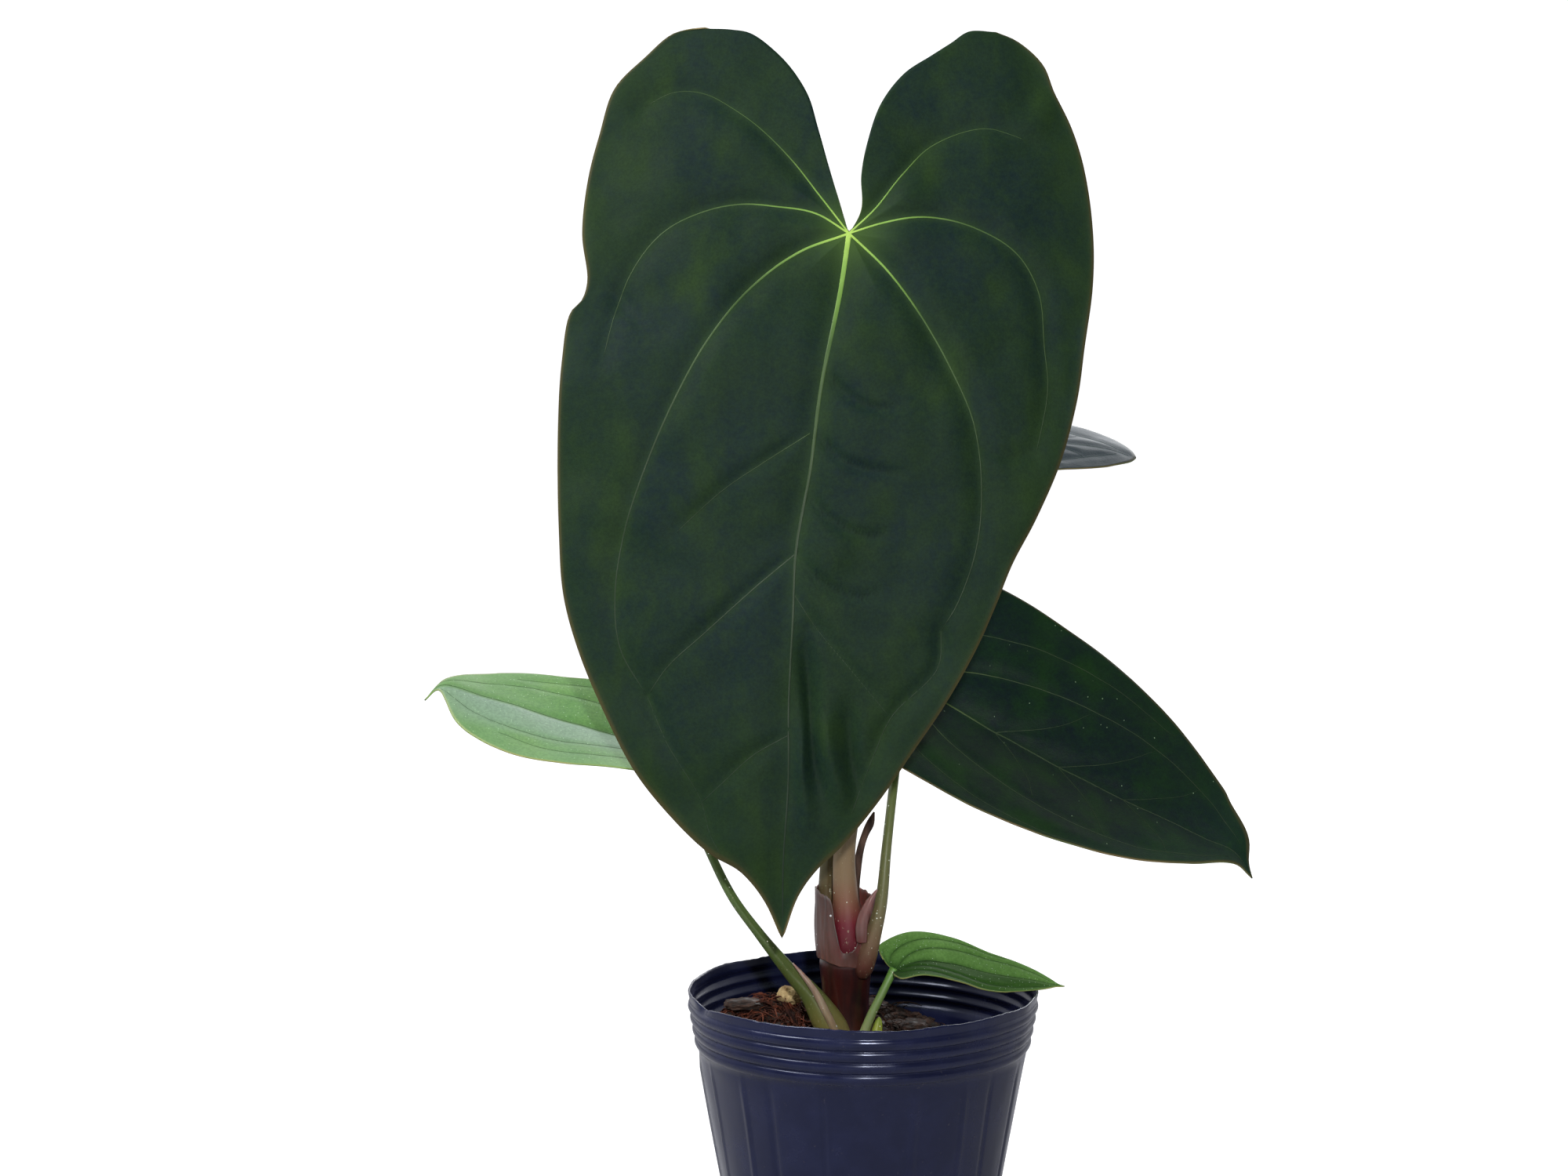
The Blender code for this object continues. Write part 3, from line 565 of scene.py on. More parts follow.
def smooth_line(points, count):
    """Evenly spaced points on a centripetal Catmull-Rom curve through the given points."""
    points = np.array(points, float)
    padded = np.vstack([2 * points[0] - points[1], points, 2 * points[-1] - points[-2]])
    found = []
    for i in range(1, len(padded) - 2):
        a, b, c, d = padded[i - 1 : i + 3]
        knots = [0.0]
        for first, second in ((a, b), (b, c), (c, d)):
            knots.append(knots[-1] + math.sqrt(np.linalg.norm(second - first)))
        k0, k1, k2, k3 = knots
        for t in np.linspace(k1, k2, 24, endpoint=False):
            ab = ((k1 - t) * a + (t - k0) * b) / (k1 - k0)
            bc = ((k2 - t) * b + (t - k1) * c) / (k2 - k1)
            cd = ((k3 - t) * c + (t - k2) * d) / (k3 - k2)
            abc = ((k2 - t) * ab + (t - k0) * bc) / (k2 - k0)
            bcd = ((k3 - t) * bc + (t - k1) * cd) / (k3 - k1)
            found.append(((k2 - t) * abc + (t - k1) * bcd) / (k2 - k1))
    found = np.array([*found, points[-1]])
    run = np.concatenate([[0], np.cumsum(np.linalg.norm(np.diff(found, axis=0), axis=1))])
    wanted = np.linspace(0, run[-1], count)
    return np.stack([np.interp(wanted, run, found[:, k]) for k in range(found.shape[1])], axis=1)


def unit(vectors):
    return vectors / np.linalg.norm(vectors, axis=-1, keepdims=True)


def rod(name, route, sides, rows, section=None):
    """A closed tapered rod on a smooth line of (x, y, z, radius) in mm.

    section gives a share of the radius for each (angle, share of the length); angle 0 is +X and
    a quarter turn is the front. The share of the length is stored as "rise".
    """
    line = smooth_line(route, rows - 1)
    ahead = unit(np.gradient(line[:, :3], axis=0))
    side = np.array((1.0, 0.0, 0.0)) - ahead[:, :1] * ahead
    side = unit(side)
    front = np.cross(side, ahead)

    def shape(around, up):
        row = np.rint(up * rows).astype(int)
        at = np.clip(row - 1, 0, rows - 2)
        angle = 2 * math.pi * around
        radius = np.where((row == 0) | (row == rows), 0.0, line[at, 3])
        if section:
            radius = radius * section(angle, at / (rows - 2))
        return (
            line[at, :3]
            + side[at] * (radius * np.cos(angle))[:, None]
            + front[at] * (radius * np.sin(angle))[:, None]
        )

    piece = shaped_grid(name, sides, rows, shape)
    rise = np.clip((np.arange(rows + 1) - 1) / (rows - 2), 0, 1)
    mark(piece, "rise", np.repeat(rise, sides + 1))
    weld(piece)
    return piece


def attribute(tree, name):
    return add_node(tree, "Attribute", attribute_name=name).outputs["Fac"]


def color_steps(tree, amount, *steps):
    """Colours along an amount; each step is (position, red, green, blue)."""
    ramp = add_node(tree, "ValToRGB", {"Fac": amount})
    elements = ramp.color_ramp.elements
    for index, (position, *color) in enumerate(steps):
        element = elements[index] if index < 2 else elements.new(position)
        element.position = position
        element.color = (*color, 1.0)
    return ramp.outputs["Color"]


def stem_skin():
    """Glossy dark red-brown skin, browner in long streaks, with a wet coat."""
    made, tree, shader = plain_finish(
        "stem_skin", Roughness=0.34, Coat_Weight=0.25, Coat_Roughness=0.18, Specular_IOR_Level=0.45
    )
    streaks = patches(tree, 330.0, 0.38, 0.66, 0.2)
    base = mix_color(tree, streaks, rgb(0.05, 0.007, 0.005), rgb(0.016, 0.005, 0.005))
    bloom = calculate(tree, "MULTIPLY", patches(tree, 150.0, 0.52, 0.72, shift=4.0), 0.5)
    base = mix_color(tree, bloom, base, rgb(0.06, 0.02, 0.012))
    tree.links.new(base, shader.inputs["Base Color"])
    tree.links.new(grain(tree, 800.0, 0.05, 0.15), shader.inputs["Normal"])
    return made


def stem_section(angle, share):
    points = np.stack([np.cos(angle), np.sin(angle), share * 3], axis=1)
    return 1 + 0.03 * lumps(points, 0.9, 2.0)


stem = rod(
    "stem_body",
    [(STEM_X, 0, 44.5, 3.0), (STEM_X, 0, 52, 5.0), (STEM_X, 0, 62, 6.0), (STEM_X, 0, 72, 6.8),
     (STEM_X, 0, 75, 7.2), (STEM_X, 0, 76.5, 7.7), (STEM_X, 0, 78, 7.25), (STEM_X, 0, 82, 6.95),
     (STEM_X, 0, 88, 7.1), (STEM_X, 0, 92, 7.4), (STEM_X, 0, 96, 7.8), (STEM_X, 0, 99, 7.8),
     (STEM_X, 0, 100.4, 7.0)],
    48,
    70,
    stem_section,
)  # fmt: skip
finish_piece(stem, "stem_skin", [stem_skin()], "stem")

root_cork, tree, shader = plain_finish("root_cork", Roughness=0.8, Specular_IOR_Level=0.25)
root_base = mix_color(tree, patches(tree, 300.0, 0.4, 0.6), rgb(0.5, 0.4, 0.26), rgb(0.26, 0.17, 0.1))
tree.links.new(root_base, shader.inputs["Base Color"])
tree.links.new(grain(tree, 900.0, 0.1), shader.inputs["Normal"])
for node in sorted(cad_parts):
    if node.startswith("root_"):
        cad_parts[node].data.materials.clear()
        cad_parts[node].data.materials.append(root_cork)

# ---------------------------------------------------------------- leaf stalks
# Fleshy round stalks with fine long ridges and a shallow channel. Each one swells into a crimson or
# rusty foot on the stem, and again where it meets its blade.


def ridged(groove_at, depth, width=0.5, ridges=0.012):
    """A round section with fine long ridges and one channel facing the given angle."""

    def section(angle, share):
        gap = np.abs((angle - groove_at + math.pi) % (2 * math.pi) - math.pi)
        fade = np.clip(share / 0.12, 0, 1) * np.clip((1 - share) / 0.08, 0, 1)
        lines = ridges * np.cos(angle * 13) * fade
        return 1 - depth * fade * np.exp(-((gap / width) ** 2)) + lines

    return section


def glints_group():
    """Sparse tiny spots for painted glints: 1 on a few small round spots and 0 elsewhere."""
    tree, given, result = group_tree(
        "glints", {"Per Metre": 900.0, "Spot": 0.16, "Share": 0.2}, {"Amount": "Float"}
    )
    place = add_node(tree, "TexCoord").outputs["Object"]
    cells = add_node(tree, "TexVoronoi", {"Vector": place, "Scale": given.outputs["Per Metre"]})
    close = calculate(tree, "LESS_THAN", cells.outputs["Distance"], given.outputs["Spot"])
    split = add_node(tree, "SeparateColor", {"Color": cells.outputs["Color"]})
    chosen = calculate(tree, "LESS_THAN", split.outputs[0], given.outputs["Share"])
    tree.links.new(calculate(tree, "MULTIPLY", close, chosen), result.inputs["Amount"])
    return tree


GLINTS = glints_group()


def glints(tree, per_metre, spot, share):
    made = add_node(tree, "Group", {}, node_tree=GLINTS)
    for socket, value in zip(made.inputs, (per_metre, spot, share)):
        socket.default_value = value
    return made.outputs["Amount"]


def stalk_skin(name, steps, speck, coat=0.15, glint=0.12):
    """A stalk's colours from foot to blade, with pale specks, long streaks, painted white glints and a waxy gloss."""
    made, tree, shader = plain_finish(
        name, Coat_Weight=coat, Coat_Roughness=0.3, Specular_IOR_Level=0.4, Subsurface_Weight=0.08,
        Subsurface_Scale=0.002
    )
    base = color_steps(tree, attribute(tree, "rise"), *steps)
    streak = calculate(tree, "MULTIPLY", patches(tree, 500.0, 0.45, 0.7, 0.12), 0.35)
    base = mix_color(tree, streak, base, speck, "MULTIPLY")
    specks = calculate(tree, "MULTIPLY", patches(tree, 1500.0, 0.63, 0.7, 0.6, 5.0), 0.45)
    base = mix_color(tree, specks, base, rgb(0.5, 0.5, 0.32))
    # Painted glints: tiny spots of near-white painted into the base colour, and glossier there.
    wet = glints(tree, 800.0, 0.17, glint)
    base = mix_color(tree, wet, base, rgb(0.9, 0.95, 0.8))
    tree.links.new(base, shader.inputs["Base Color"])
    shine = add_node(tree, "MapRange", {"Value": wet, "To Min": 0.48, "To Max": 0.1})
    tree.links.new(shine.outputs[0], shader.inputs["Roughness"])
    tree.links.new(grain(tree, 1300.0, 0.04, 0.25), shader.inputs["Normal"])
    return made


main_stalk = rod(
    "main_stalk",
    [(-4.6, -3.6, 97.8, 3.2), (-4.6, -3.9, 100.5, 4.1), (-4.6, -4.2, 104, 4.9), (-4.8, -4.3, 111, 4.7),
     (-5.4, -4.6, 120, 3.8), (-5.6, -5, 133, 3.2), (-2.6, -6, 152, 2.5), (-1, -7, 175, 2.2),
     (0, -8, 222, 2.1), (-1, -7, 270, 2.1), (-3, -4, 300, 2.4), (-4, -2.2, 309, 2.8),
     (-4.5, -2.0, 314, 2.6), (-4.6, -3.0, 316.4, 1.9)],
    36,
    220,
    ridged(2.4, 0.12),
)  # fmt: skip
main_skin = stalk_skin(
    "main_stalk_skin",
    [(0.0, 0.09, 0.006, 0.015), (0.035, 0.13, 0.008, 0.018), (0.065, 0.2, 0.02, 0.035),
     (0.095, 0.27, 0.12, 0.075), (0.13, 0.27, 0.18, 0.1), (0.5, 0.14, 0.17, 0.06),
     (0.95, 0.17, 0.27, 0.05)],
    rgb(0.75, 0.7, 0.6),
)  # fmt: skip
finish_piece(main_stalk, "main_stalk_skin", [main_skin], "main_leaf_stalk")

back_stalk = rod(
    "back_stalk",
    [(-8.4, 3.4, 97.6, 2.2), (-9, 3.2, 106, 2.6), (-10.3, 3, 117, 3.0), (-10.0, 2, 131, 2.6),
     (-9, 1, 150, 2.0), (-9.5, 1, 170, 1.6), (-9, 5, 192, 1.5), (-5, 16, 214, 1.5), (0, 26, 229, 1.6),
     (5.6, 33, 239.6, 1.7)],
    30,
    170,
    ridged(1.2, 0.3, 0.35),
)  # fmt: skip
back_skin = stalk_skin(
    "back_stalk_skin",
    [(0.0, 0.17, 0.09, 0.08), (0.1, 0.16, 0.11, 0.06), (0.2, 0.12, 0.1, 0.04), (1.0, 0.1, 0.13, 0.05)],
    rgb(0.5, 0.4, 0.35),
)
finish_piece(back_stalk, "main_stalk_skin", [back_skin], "back_leaf_stalk")

right_stalk = rod(
    "right_stalk",
    [(-0.4, -5.4, 95.0, 1.8), (0.0, -6.0, 97.2, 2.8), (1.1, -7.2, 101.5, 3.0), (2.7, -8.2, 107.5, 2.5),
     (5.2, -8.2, 118, 1.9), (6.9, -5, 134, 1.5), (9.4, 5, 153, 1.4), (12, 20, 168, 1.5),
     (13.7, 34.4, 176.4, 1.9)],
    30,
    140,
    ridged(2.6, 0.15),
)  # fmt: skip
right_skin = stalk_skin(
    "right_stalk_skin",
    [(0.0, 0.06, 0.015, 0.01), (0.05, 0.14, 0.05, 0.035), (0.13, 0.22, 0.14, 0.08), (0.26, 0.17, 0.17, 0.07),
     (0.6, 0.13, 0.17, 0.05), (1.0, 0.12, 0.17, 0.05)],
    rgb(0.8, 0.8, 0.6),
    glint=0.25,
)  # fmt: skip
finish_piece(right_stalk, "green_stalk_skin", [right_skin], "right_leaf_stalk")

left_stalk = rod(
    "left_stalk",
    [(-6.4, -5.6, 73.4, 3.8), (-8.4, -6.2, 78, 4.7), (-11, -7, 82.5, 4.6), (-15.6, -7.7, 90, 3.3),
     (-21.2, -8.3, 96.5, 2.4), (-25, -9, 101.2, 2.0), (-31.5, -9, 109.5, 1.55), (-39, -9, 120, 1.4),
     (-46, -8, 134, 1.3),
     (-52, -4.4, 148, 1.4), (-54.7, -0.6, 158.6, 1.7)],
    30,
    130,
    ridged(0.9, 0.2, 0.4),
)  # fmt: skip
left_skin = stalk_skin(
    "left_stalk_skin",
    [(0.0, 0.2, 0.15, 0.06), (0.08, 0.19, 0.16, 0.045), (0.2, 0.1, 0.125, 0.03), (0.4, 0.065, 0.105, 0.02),
     (1.0, 0.11, 0.19, 0.05)],
    rgb(0.8, 0.85, 0.6),
)  # fmt: skip
finish_piece(left_stalk, "green_stalk_skin", [left_skin], "left_leaf_stalk")

small_stalk = rod(
    "small_stalk",
    [(-0.6, -9.8, 76.6, 1.5), (2.4, -9, 84, 1.35), (5.4, -8, 90, 1.25), (8.2, -6.6, 95.4, 1.3),
     (9.4, -5.8, 97.4, 1.5)],
    24,
    50,
    ridged(1.6, 0.1, 0.5, 0.02),
)  # fmt: skip
small_skin = stalk_skin(
    "small_stalk_skin",
    [(0.0, 0.27, 0.28, 0.12), (0.3, 0.2, 0.27, 0.09), (0.7, 0.17, 0.3, 0.07), (1.0, 0.15, 0.36, 0.06)],
    rgb(0.8, 0.9, 0.6),
    glint=0.25,
)
finish_piece(small_stalk, "green_stalk_skin", [small_skin], "small_leaf_stalk")

# ---------------------------------------------------------------- sheath, flaps, strand and shoot
# Papery cataphyll tissue wraps the stalks' feet. It is grey-pink and half clear, torn open in
# front, with whitish dry edges. Narrow wings of it stand beside the right and left stalks.


def sheath_shape(around, up):
    angle = 2 * math.pi * around
    front = np.abs((angle - 4.75 + math.pi) % (2 * math.pi) - math.pi)
    points = ring_points(angle, 3.0)
    notch = 15.5 * np.exp(-((front / 0.47) ** 4))
    top = 118.5 + 2.5 * np.clip(-np.cos(angle), 0, 1) - notch + 1.3 * lumps(points, 1.0, 2.0) + 0.5 * lumps(points * 4, 1.0, 5.0)
    bottom = 98.7 - 1.5 * np.cos(angle) + 0.5 * lumps(points, 1.0, 8.0)
    height = bottom + (top - bottom) * up
    level = (height - 96.0) / 23.0
    radius = 8.3 + 1.25 * np.sin(np.clip(level * 1.5, 0, 1.35) * math.pi / 2)
    wrinkle = np.stack([np.cos(angle) * 7, np.sin(angle) * 7, height / 14], axis=1)
    radius += 0.28 * lumps(wrinkle, 1.0, 6.0) + 0.5 * up**4 * lumps(points * 2, 1.0, 1.0)
    return np.stack([STEM_X + radius * np.cos(angle), radius * np.sin(angle), height], axis=1)


def sheath_finish(name, low, high, dry):
    """Thin moist membrane, deeper pink below and papery white at its torn edge, with tiny painted white glints."""
    made, tree, shader = plain_finish(
        name, Roughness=0.4, Coat_Weight=0.35, Coat_Roughness=0.2, Subsurface_Weight=0.15,
        Subsurface_Scale=0.003
    )
    base = mix_color(tree, attribute(tree, "rise"), low, high)
    veins = calculate(tree, "MULTIPLY", patches(tree, 420.0, 0.42, 0.68, 0.15), 0.6)
    base = mix_color(tree, veins, base, rgb(0.55, 0.4, 0.36), "MULTIPLY")
    blotch = calculate(tree, "MULTIPLY", patches(tree, 130.0, 0.52, 0.66, shift=3.0), 0.5)
    base = mix_color(tree, blotch, base, rgb(0.22, 0.05, 0.05))
    frayed = color_steps(tree, attribute(tree, "rise"), (0.94, 0, 0, 0), (1.0, 1, 1, 1))
    base = mix_color(tree, frayed, base, dry)
    # Painted glints: tiny white spots painted into the base colour.
    base = mix_color(tree, glints(tree, 500.0, 0.16, 0.16), base, rgb(0.95, 0.95, 0.95))
    tree.links.new(base, shader.inputs["Base Color"])
    tree.links.new(grain(tree, 700.0, 0.1, 0.2), shader.inputs["Normal"])
    return made


sheath = shaped_grid("sheath_wrap", 160, 50, sheath_shape)
mark(sheath, "rise", np.repeat(np.linspace(0, 1, 51), 161))
weld(sheath)
give_wall(sheath, 0.35)
# The pale pink-tan of its foot is partly its own tint and partly painted light: light showing through the membrane
# there and highlights just above its lower edge.
sheath_skin = sheath_finish(
    "sheath_film", rgb(0.18, 0.08, 0.065), rgb(0.095, 0.05, 0.042), rgb(0.16, 0.12, 0.11)
)
finish_piece(sheath, "sheath_film", [sheath_skin], "stem_sheath")


def flap_piece(name, spine, width, lean, node, material):
    """A pointed wing of membrane along a line, cupped a little towards its stalk."""
    line = smooth_line(spine, 60)
    lean = np.array(lean, float)

    def shape(across, up):
        row = np.rint(up * 59).astype(int)
        edge = width * np.sin(math.pi * np.clip(0.3 + 0.7 * up, 0, 1)) ** 0.7
        edge = np.maximum(edge, 0.15)
        ruffle = 0.25 * lumps(np.stack([across, up * 5, 0 * up], axis=1), 1.0, width)
        cup = -0.9 * np.sin(math.pi * across) * edge / width + ruffle
        return line[row] + lean * (across * edge)[:, None] + np.stack([0 * up, cup, 0 * up], axis=1)

    piece = shaped_grid(name, 14, 59, shape)
    mark(piece, "rise", np.repeat(np.linspace(0.2, 0.96, 60), 15))
    weld(piece, outwards=False)
    give_wall(piece, 0.3, 0.0)
    finish_piece(piece, "sheath_film", [material], node)


pink_flap = sheath_finish("pink_flap", rgb(0.16, 0.06, 0.05), rgb(0.33, 0.18, 0.17), rgb(0.4, 0.3, 0.29))
flap_piece(
    "right_flap",
    [(1.0, -9.9, 106.5), (1.2, -10.2, 112), (2.4, -10.0, 117.5), (4.2, -9.6, 122.6)],
    3.4,
    (-1.0, 0.05, 0),
    "right_stalk_flap",
    pink_flap,
)
white_flap = sheath_finish("white_flap", rgb(0.34, 0.26, 0.12), rgb(0.42, 0.3, 0.25), rgb(0.7, 0.62, 0.58))
flap_piece(
    "left_flap",
    [(-8.6, -11.4, 78), (-11.6, -11.6, 84), (-15.6, -11.3, 92), (-21.2, -10.8, 100.4)],
    2.3,
    (0.9, -0.05, 0.36),
    "left_stalk_flap",
    white_flap,
)

strand = rod(
    "dried_strand",
    [(-3, 5.6, 98, 0.7), (-2.6, 7, 112, 1.2), (-1.4, 5, 128, 0.9), (0.6, 4.4, 136, 0.8), (2.2, 4, 140, 0.9),
     (3.4, 4, 143.4, 0.2)],
    16,
    60,
    lambda angle, share: 1 + 0.35 * np.cos(2 * angle) + 0.1 * np.cos(5 * angle + share * 20),
)  # fmt: skip
dried, tree, shader = plain_finish("dried_sheath", Roughness=0.75, Specular_IOR_Level=0.3)
dried_base = mix_color(tree, patches(tree, 400.0, 0.4, 0.6, 0.2), rgb(0.03, 0.018, 0.014), rgb(0.12, 0.07, 0.05))
tree.links.new(dried_base, shader.inputs["Base Color"])
tree.links.new(grain(tree, 900.0, 0.1, 0.2), shader.inputs["Normal"])
finish_piece(strand, "dried_sheath", [dried], "dried_sheath_strand")

shoot = rod(
    "basal_shoot_tip",
    [(3.6, -8.6, 75.4, 1.2), (3.9, -8.8, 77.6, 1.7), (4.3, -8.8, 80, 1.5), (4.7, -8.6, 82.4, 0.9),
     (4.8, -8.5, 83.4, 0.2)],
    24,
    36,
    ridged(1.0, 0.2, 0.4),
)  # fmt: skip
shoot_skin = stalk_skin(
    "young_shoot", [(0.0, 0.4, 0.34, 0.08), (0.5, 0.36, 0.4, 0.05), (1.0, 0.25, 0.36, 0.05)], rgb(0.8, 0.9, 0.6)
)
finish_piece(shoot, "young_shoot", [shoot_skin], "basal_shoot")

# ---------------------------------------------------------------- main leaf
# The largest blade hangs face on from its stalk's tip: thick velvety leaf, near black-green, with
# thin yellow-green veins in shallow troughs, a cleft between two lobes and a fine tan margin.

# A blade is laid out flat: across from the midrib and along it, in mm, from the stalk to the tip.


def flat_blade(leaf, round_margin, outward):
    """Flat places of a fan of lines from the stalk to the margin; both inputs run from 0 to 1."""
    count = 400
    left = smooth_line(leaf["left"], count)
    right = smooth_line(leaf["right"], count)[::-1]
    margin = np.vstack([left, right[1:]])
    stations = np.linspace(0, 1, len(margin))
    edge = np.stack([np.interp(round_margin, stations, margin[:, k]) for k in (0, 1)], axis=1)
    flat = outward[:, None] * edge
    for name, share in (("sinus_left", 1 - round_margin), ("sinus_right", round_margin)):
        sinus = smooth_line(leaf[name], count)
        shares = np.linspace(0, 1, count)
        spot = np.stack([np.interp(outward, shares, sinus[:, k]) for k in (0, 1)], axis=1)
        flat += (share**2)[:, None] * (spot - outward[:, None] * sinus[-1])
    return flat


def place_blade(leaf, flat, lift):
    """Where flat places lie once the blade is arched, folded and curled, raised by lift in mm."""
    length, stations = leaf["length"], 120
    spine = smooth_line(leaf["spine"], stations)
    forward = unit(np.gradient(spine, axis=0))
    stretch = np.linalg.norm(np.diff(spine, axis=0), axis=1).sum() / length
    across, along = flat[:, 0], flat[:, 1]
    share = np.clip(along / length, 0, 1)
    index = share * (stations - 1)
    known = np.arange(stations)
    base = np.stack([np.interp(index, known, spine[:, k]) for k in range(3)], axis=1)
    ahead = unit(np.stack([np.interp(index, known, forward[:, k]) for k in range(3)], axis=1))
    base += ahead * (np.minimum(along, 0) * stretch)[:, None]
    first, last = (np.array(side, float) for side in leaf["side"])
    side = first + (last - first) * share[:, None]
    side = unit(side - (side * ahead).sum(axis=1, keepdims=True) * ahead)
    upper = np.cross(ahead, side)
    halves = [start + (end - start) * share for start, end in leaf["fold"]]
    fold = np.radians(np.where(across < 0, halves[0], halves[1]))
    curl = np.where(across < 0, leaf["curl"][0], leaf["curl"][1])
    soft = np.abs(across) / (np.abs(across) + 1.2) * np.abs(across)
    rise = soft * np.sin(fold) + curl * (across / leaf["half_width"]) ** 2 + lift
    return base + side * (across * np.cos(fold))[:, None] + upper * rise[:, None]


def vein_gap(flat, route):
    """Distance in mm of each flat place from a vein, and how far along the vein that is, 0 to 1."""
    line = smooth_line(route, 36)
    best = np.full(len(flat), 1e9)
    share = np.zeros(len(flat))
    for number, (start, end) in enumerate(zip(line[:-1], line[1:])):
        run = end - start
        t = np.clip(((flat - start) @ run) / (run @ run), 0, 1)
        gap = np.linalg.norm(flat - start - t[:, None] * run, axis=1)
        closer = gap < best
        best[closer] = gap[closer]
        share[closer] = (number + t[closer]) / (len(line) - 1)
    return best, share


def blade_relief(leaf, flat):
    """Height in mm of the blade's surface over its plain form: troughs at veins, swells between."""
    relief = leaf["swell"] * lumps(np.c_[flat, 0 * flat[:, 0]], leaf["swell_size"], leaf["length"])
    relief += 0.35 * leaf["swell"] * lumps(np.c_[flat, 0 * flat[:, 0]], leaf["swell_size"] * 0.4, 3.0)
    trough = np.zeros(len(flat))
    for route, width, _ in leaf["veins"]:
        gap, share = vein_gap(flat, route)
        depth = leaf["trough"] * min(1.0, 0.35 + width) * (1 - 0.6 * share)
        sunk = depth * np.exp(-((gap / (leaf["trough_width"] * (0.6 + 0.5 * width))) ** 2))
        trough = np.maximum(trough, sunk)
    relief -= trough
    for route, depth, width in leaf.get("creases", ()):
        gap, share = vein_gap(flat, route)
        relief += 1.8 * depth * np.exp(-((gap / width) ** 2)) * np.sin(math.pi * np.clip(share, 0.02, 0.98)) ** 0.5
    return relief


def blade_piece(name, leaf, columns, rows, thickness, slot, materials, node):
    """The blade: a fan-shaped grid with its relief, walled, with its own underside and margin."""
    known = {}

    def shape(around, outward):
        flat = flat_blade(leaf, 1 - around, outward)
        known["flat"], known["outward"] = flat, outward
        edge = 1 - np.clip((outward - 0.97) / 0.03, 0, 1) ** 2 * 0.5
        return place_blade(leaf, flat, blade_relief(leaf, flat) * edge + thickness / 2)

    piece = shaped_grid(name, columns, rows, shape)
    flat, outward = known["flat"], known["outward"]
    halo = np.zeros(len(flat))
    for route, width, _ in leaf["veins"]:
        gap, share = vein_gap(flat, route)
        strength = min(1.0, 0.3 + width) * (1 - 0.75 * share)
        halo = np.maximum(halo, strength * np.exp(-((gap / (0.5 + 0.9 * width)) ** 2)))
    mark(piece, "halo", halo)
    reach = np.linalg.norm(flat, axis=1)
    mark(piece, "hub", np.exp(-((reach / (0.05 * leaf["length"])) ** 2)))
    mark(piece, "margin", np.clip(outward, 0, 1) ** 14)
    mark(piece, "edge", np.clip((outward - 0.99) / 0.01, 0, 1))
    mark(piece, "across", flat[:, 0] / leaf["half_width"])
    weld(piece, outwards=False)
    for material in materials:
        piece.data.materials.append(material)
    give_wall(piece, thickness, -1.0, 1, 2)
    finish_piece(piece, slot, [], node)
    return piece


def vein_ribbons(name, leaf, thickness, slot, upper_skin, under_skin):
    """The veins: a low ridge along each on the upper face, and a rounder rib below it."""
    made = []
    for index, (route, start, end) in enumerate(leaf["veins"]):
        line = smooth_line(route, 90)
        ahead = unit(np.gradient(line, axis=0))
        aside = np.stack([ahead[:, 1], -ahead[:, 0]], axis=1)
        for face, wide, high in (("upper", 0.34, 0.11), ("under", 0.75, 0.55)):

            def shape(across, up):
                row = np.rint(up * 89).astype(int)
                width = start + (end - start) * (up**0.7)
                width *= np.clip((1 - up) / 0.04, 0.1, 1)
                offset = (2 * across - 1) * wide * width
                flat = line[row] + aside[row] * offset[:, None]
                level = blade_relief(leaf, line)[row] if face == "under" else blade_relief(leaf, flat)
                bow = np.sqrt(np.clip(1 - (2 * across - 1) ** 2, 0, 1))
                if face == "upper":
                    lift = level + thickness / 2 + high * np.clip(width, 0.5, 1.0) * bow + 0.02
                else:
                    lift = level - thickness / 2 - high * width * bow + 0.08
                return place_blade(leaf, flat, lift)

            piece = shaped_grid(f"{name}_{face}_{index}", 8, 89, shape)
            hub = np.linalg.norm(line, axis=1) / leaf["length"]
            mark(piece, "rise", np.repeat(hub, 9))
            piece.data.materials.append(upper_skin if face == "upper" else under_skin)
            if face == "upper":
                piece.data.flip_normals()
            bpy.ops.object.shade_smooth()
            made.append(piece)
    for face, group in (("upper", made[0::2]), ("under", made[1::2])):
        bpy.ops.object.select_all(action="DESELECT")
        for piece in group:
            piece.select_set(True)
        bpy.context.view_layer.objects.active = group[0]
        bpy.ops.object.join()
        group[0].name = group[0].data.name = f"{name}_{face}"
        finish_piece(group[0], slot, [])


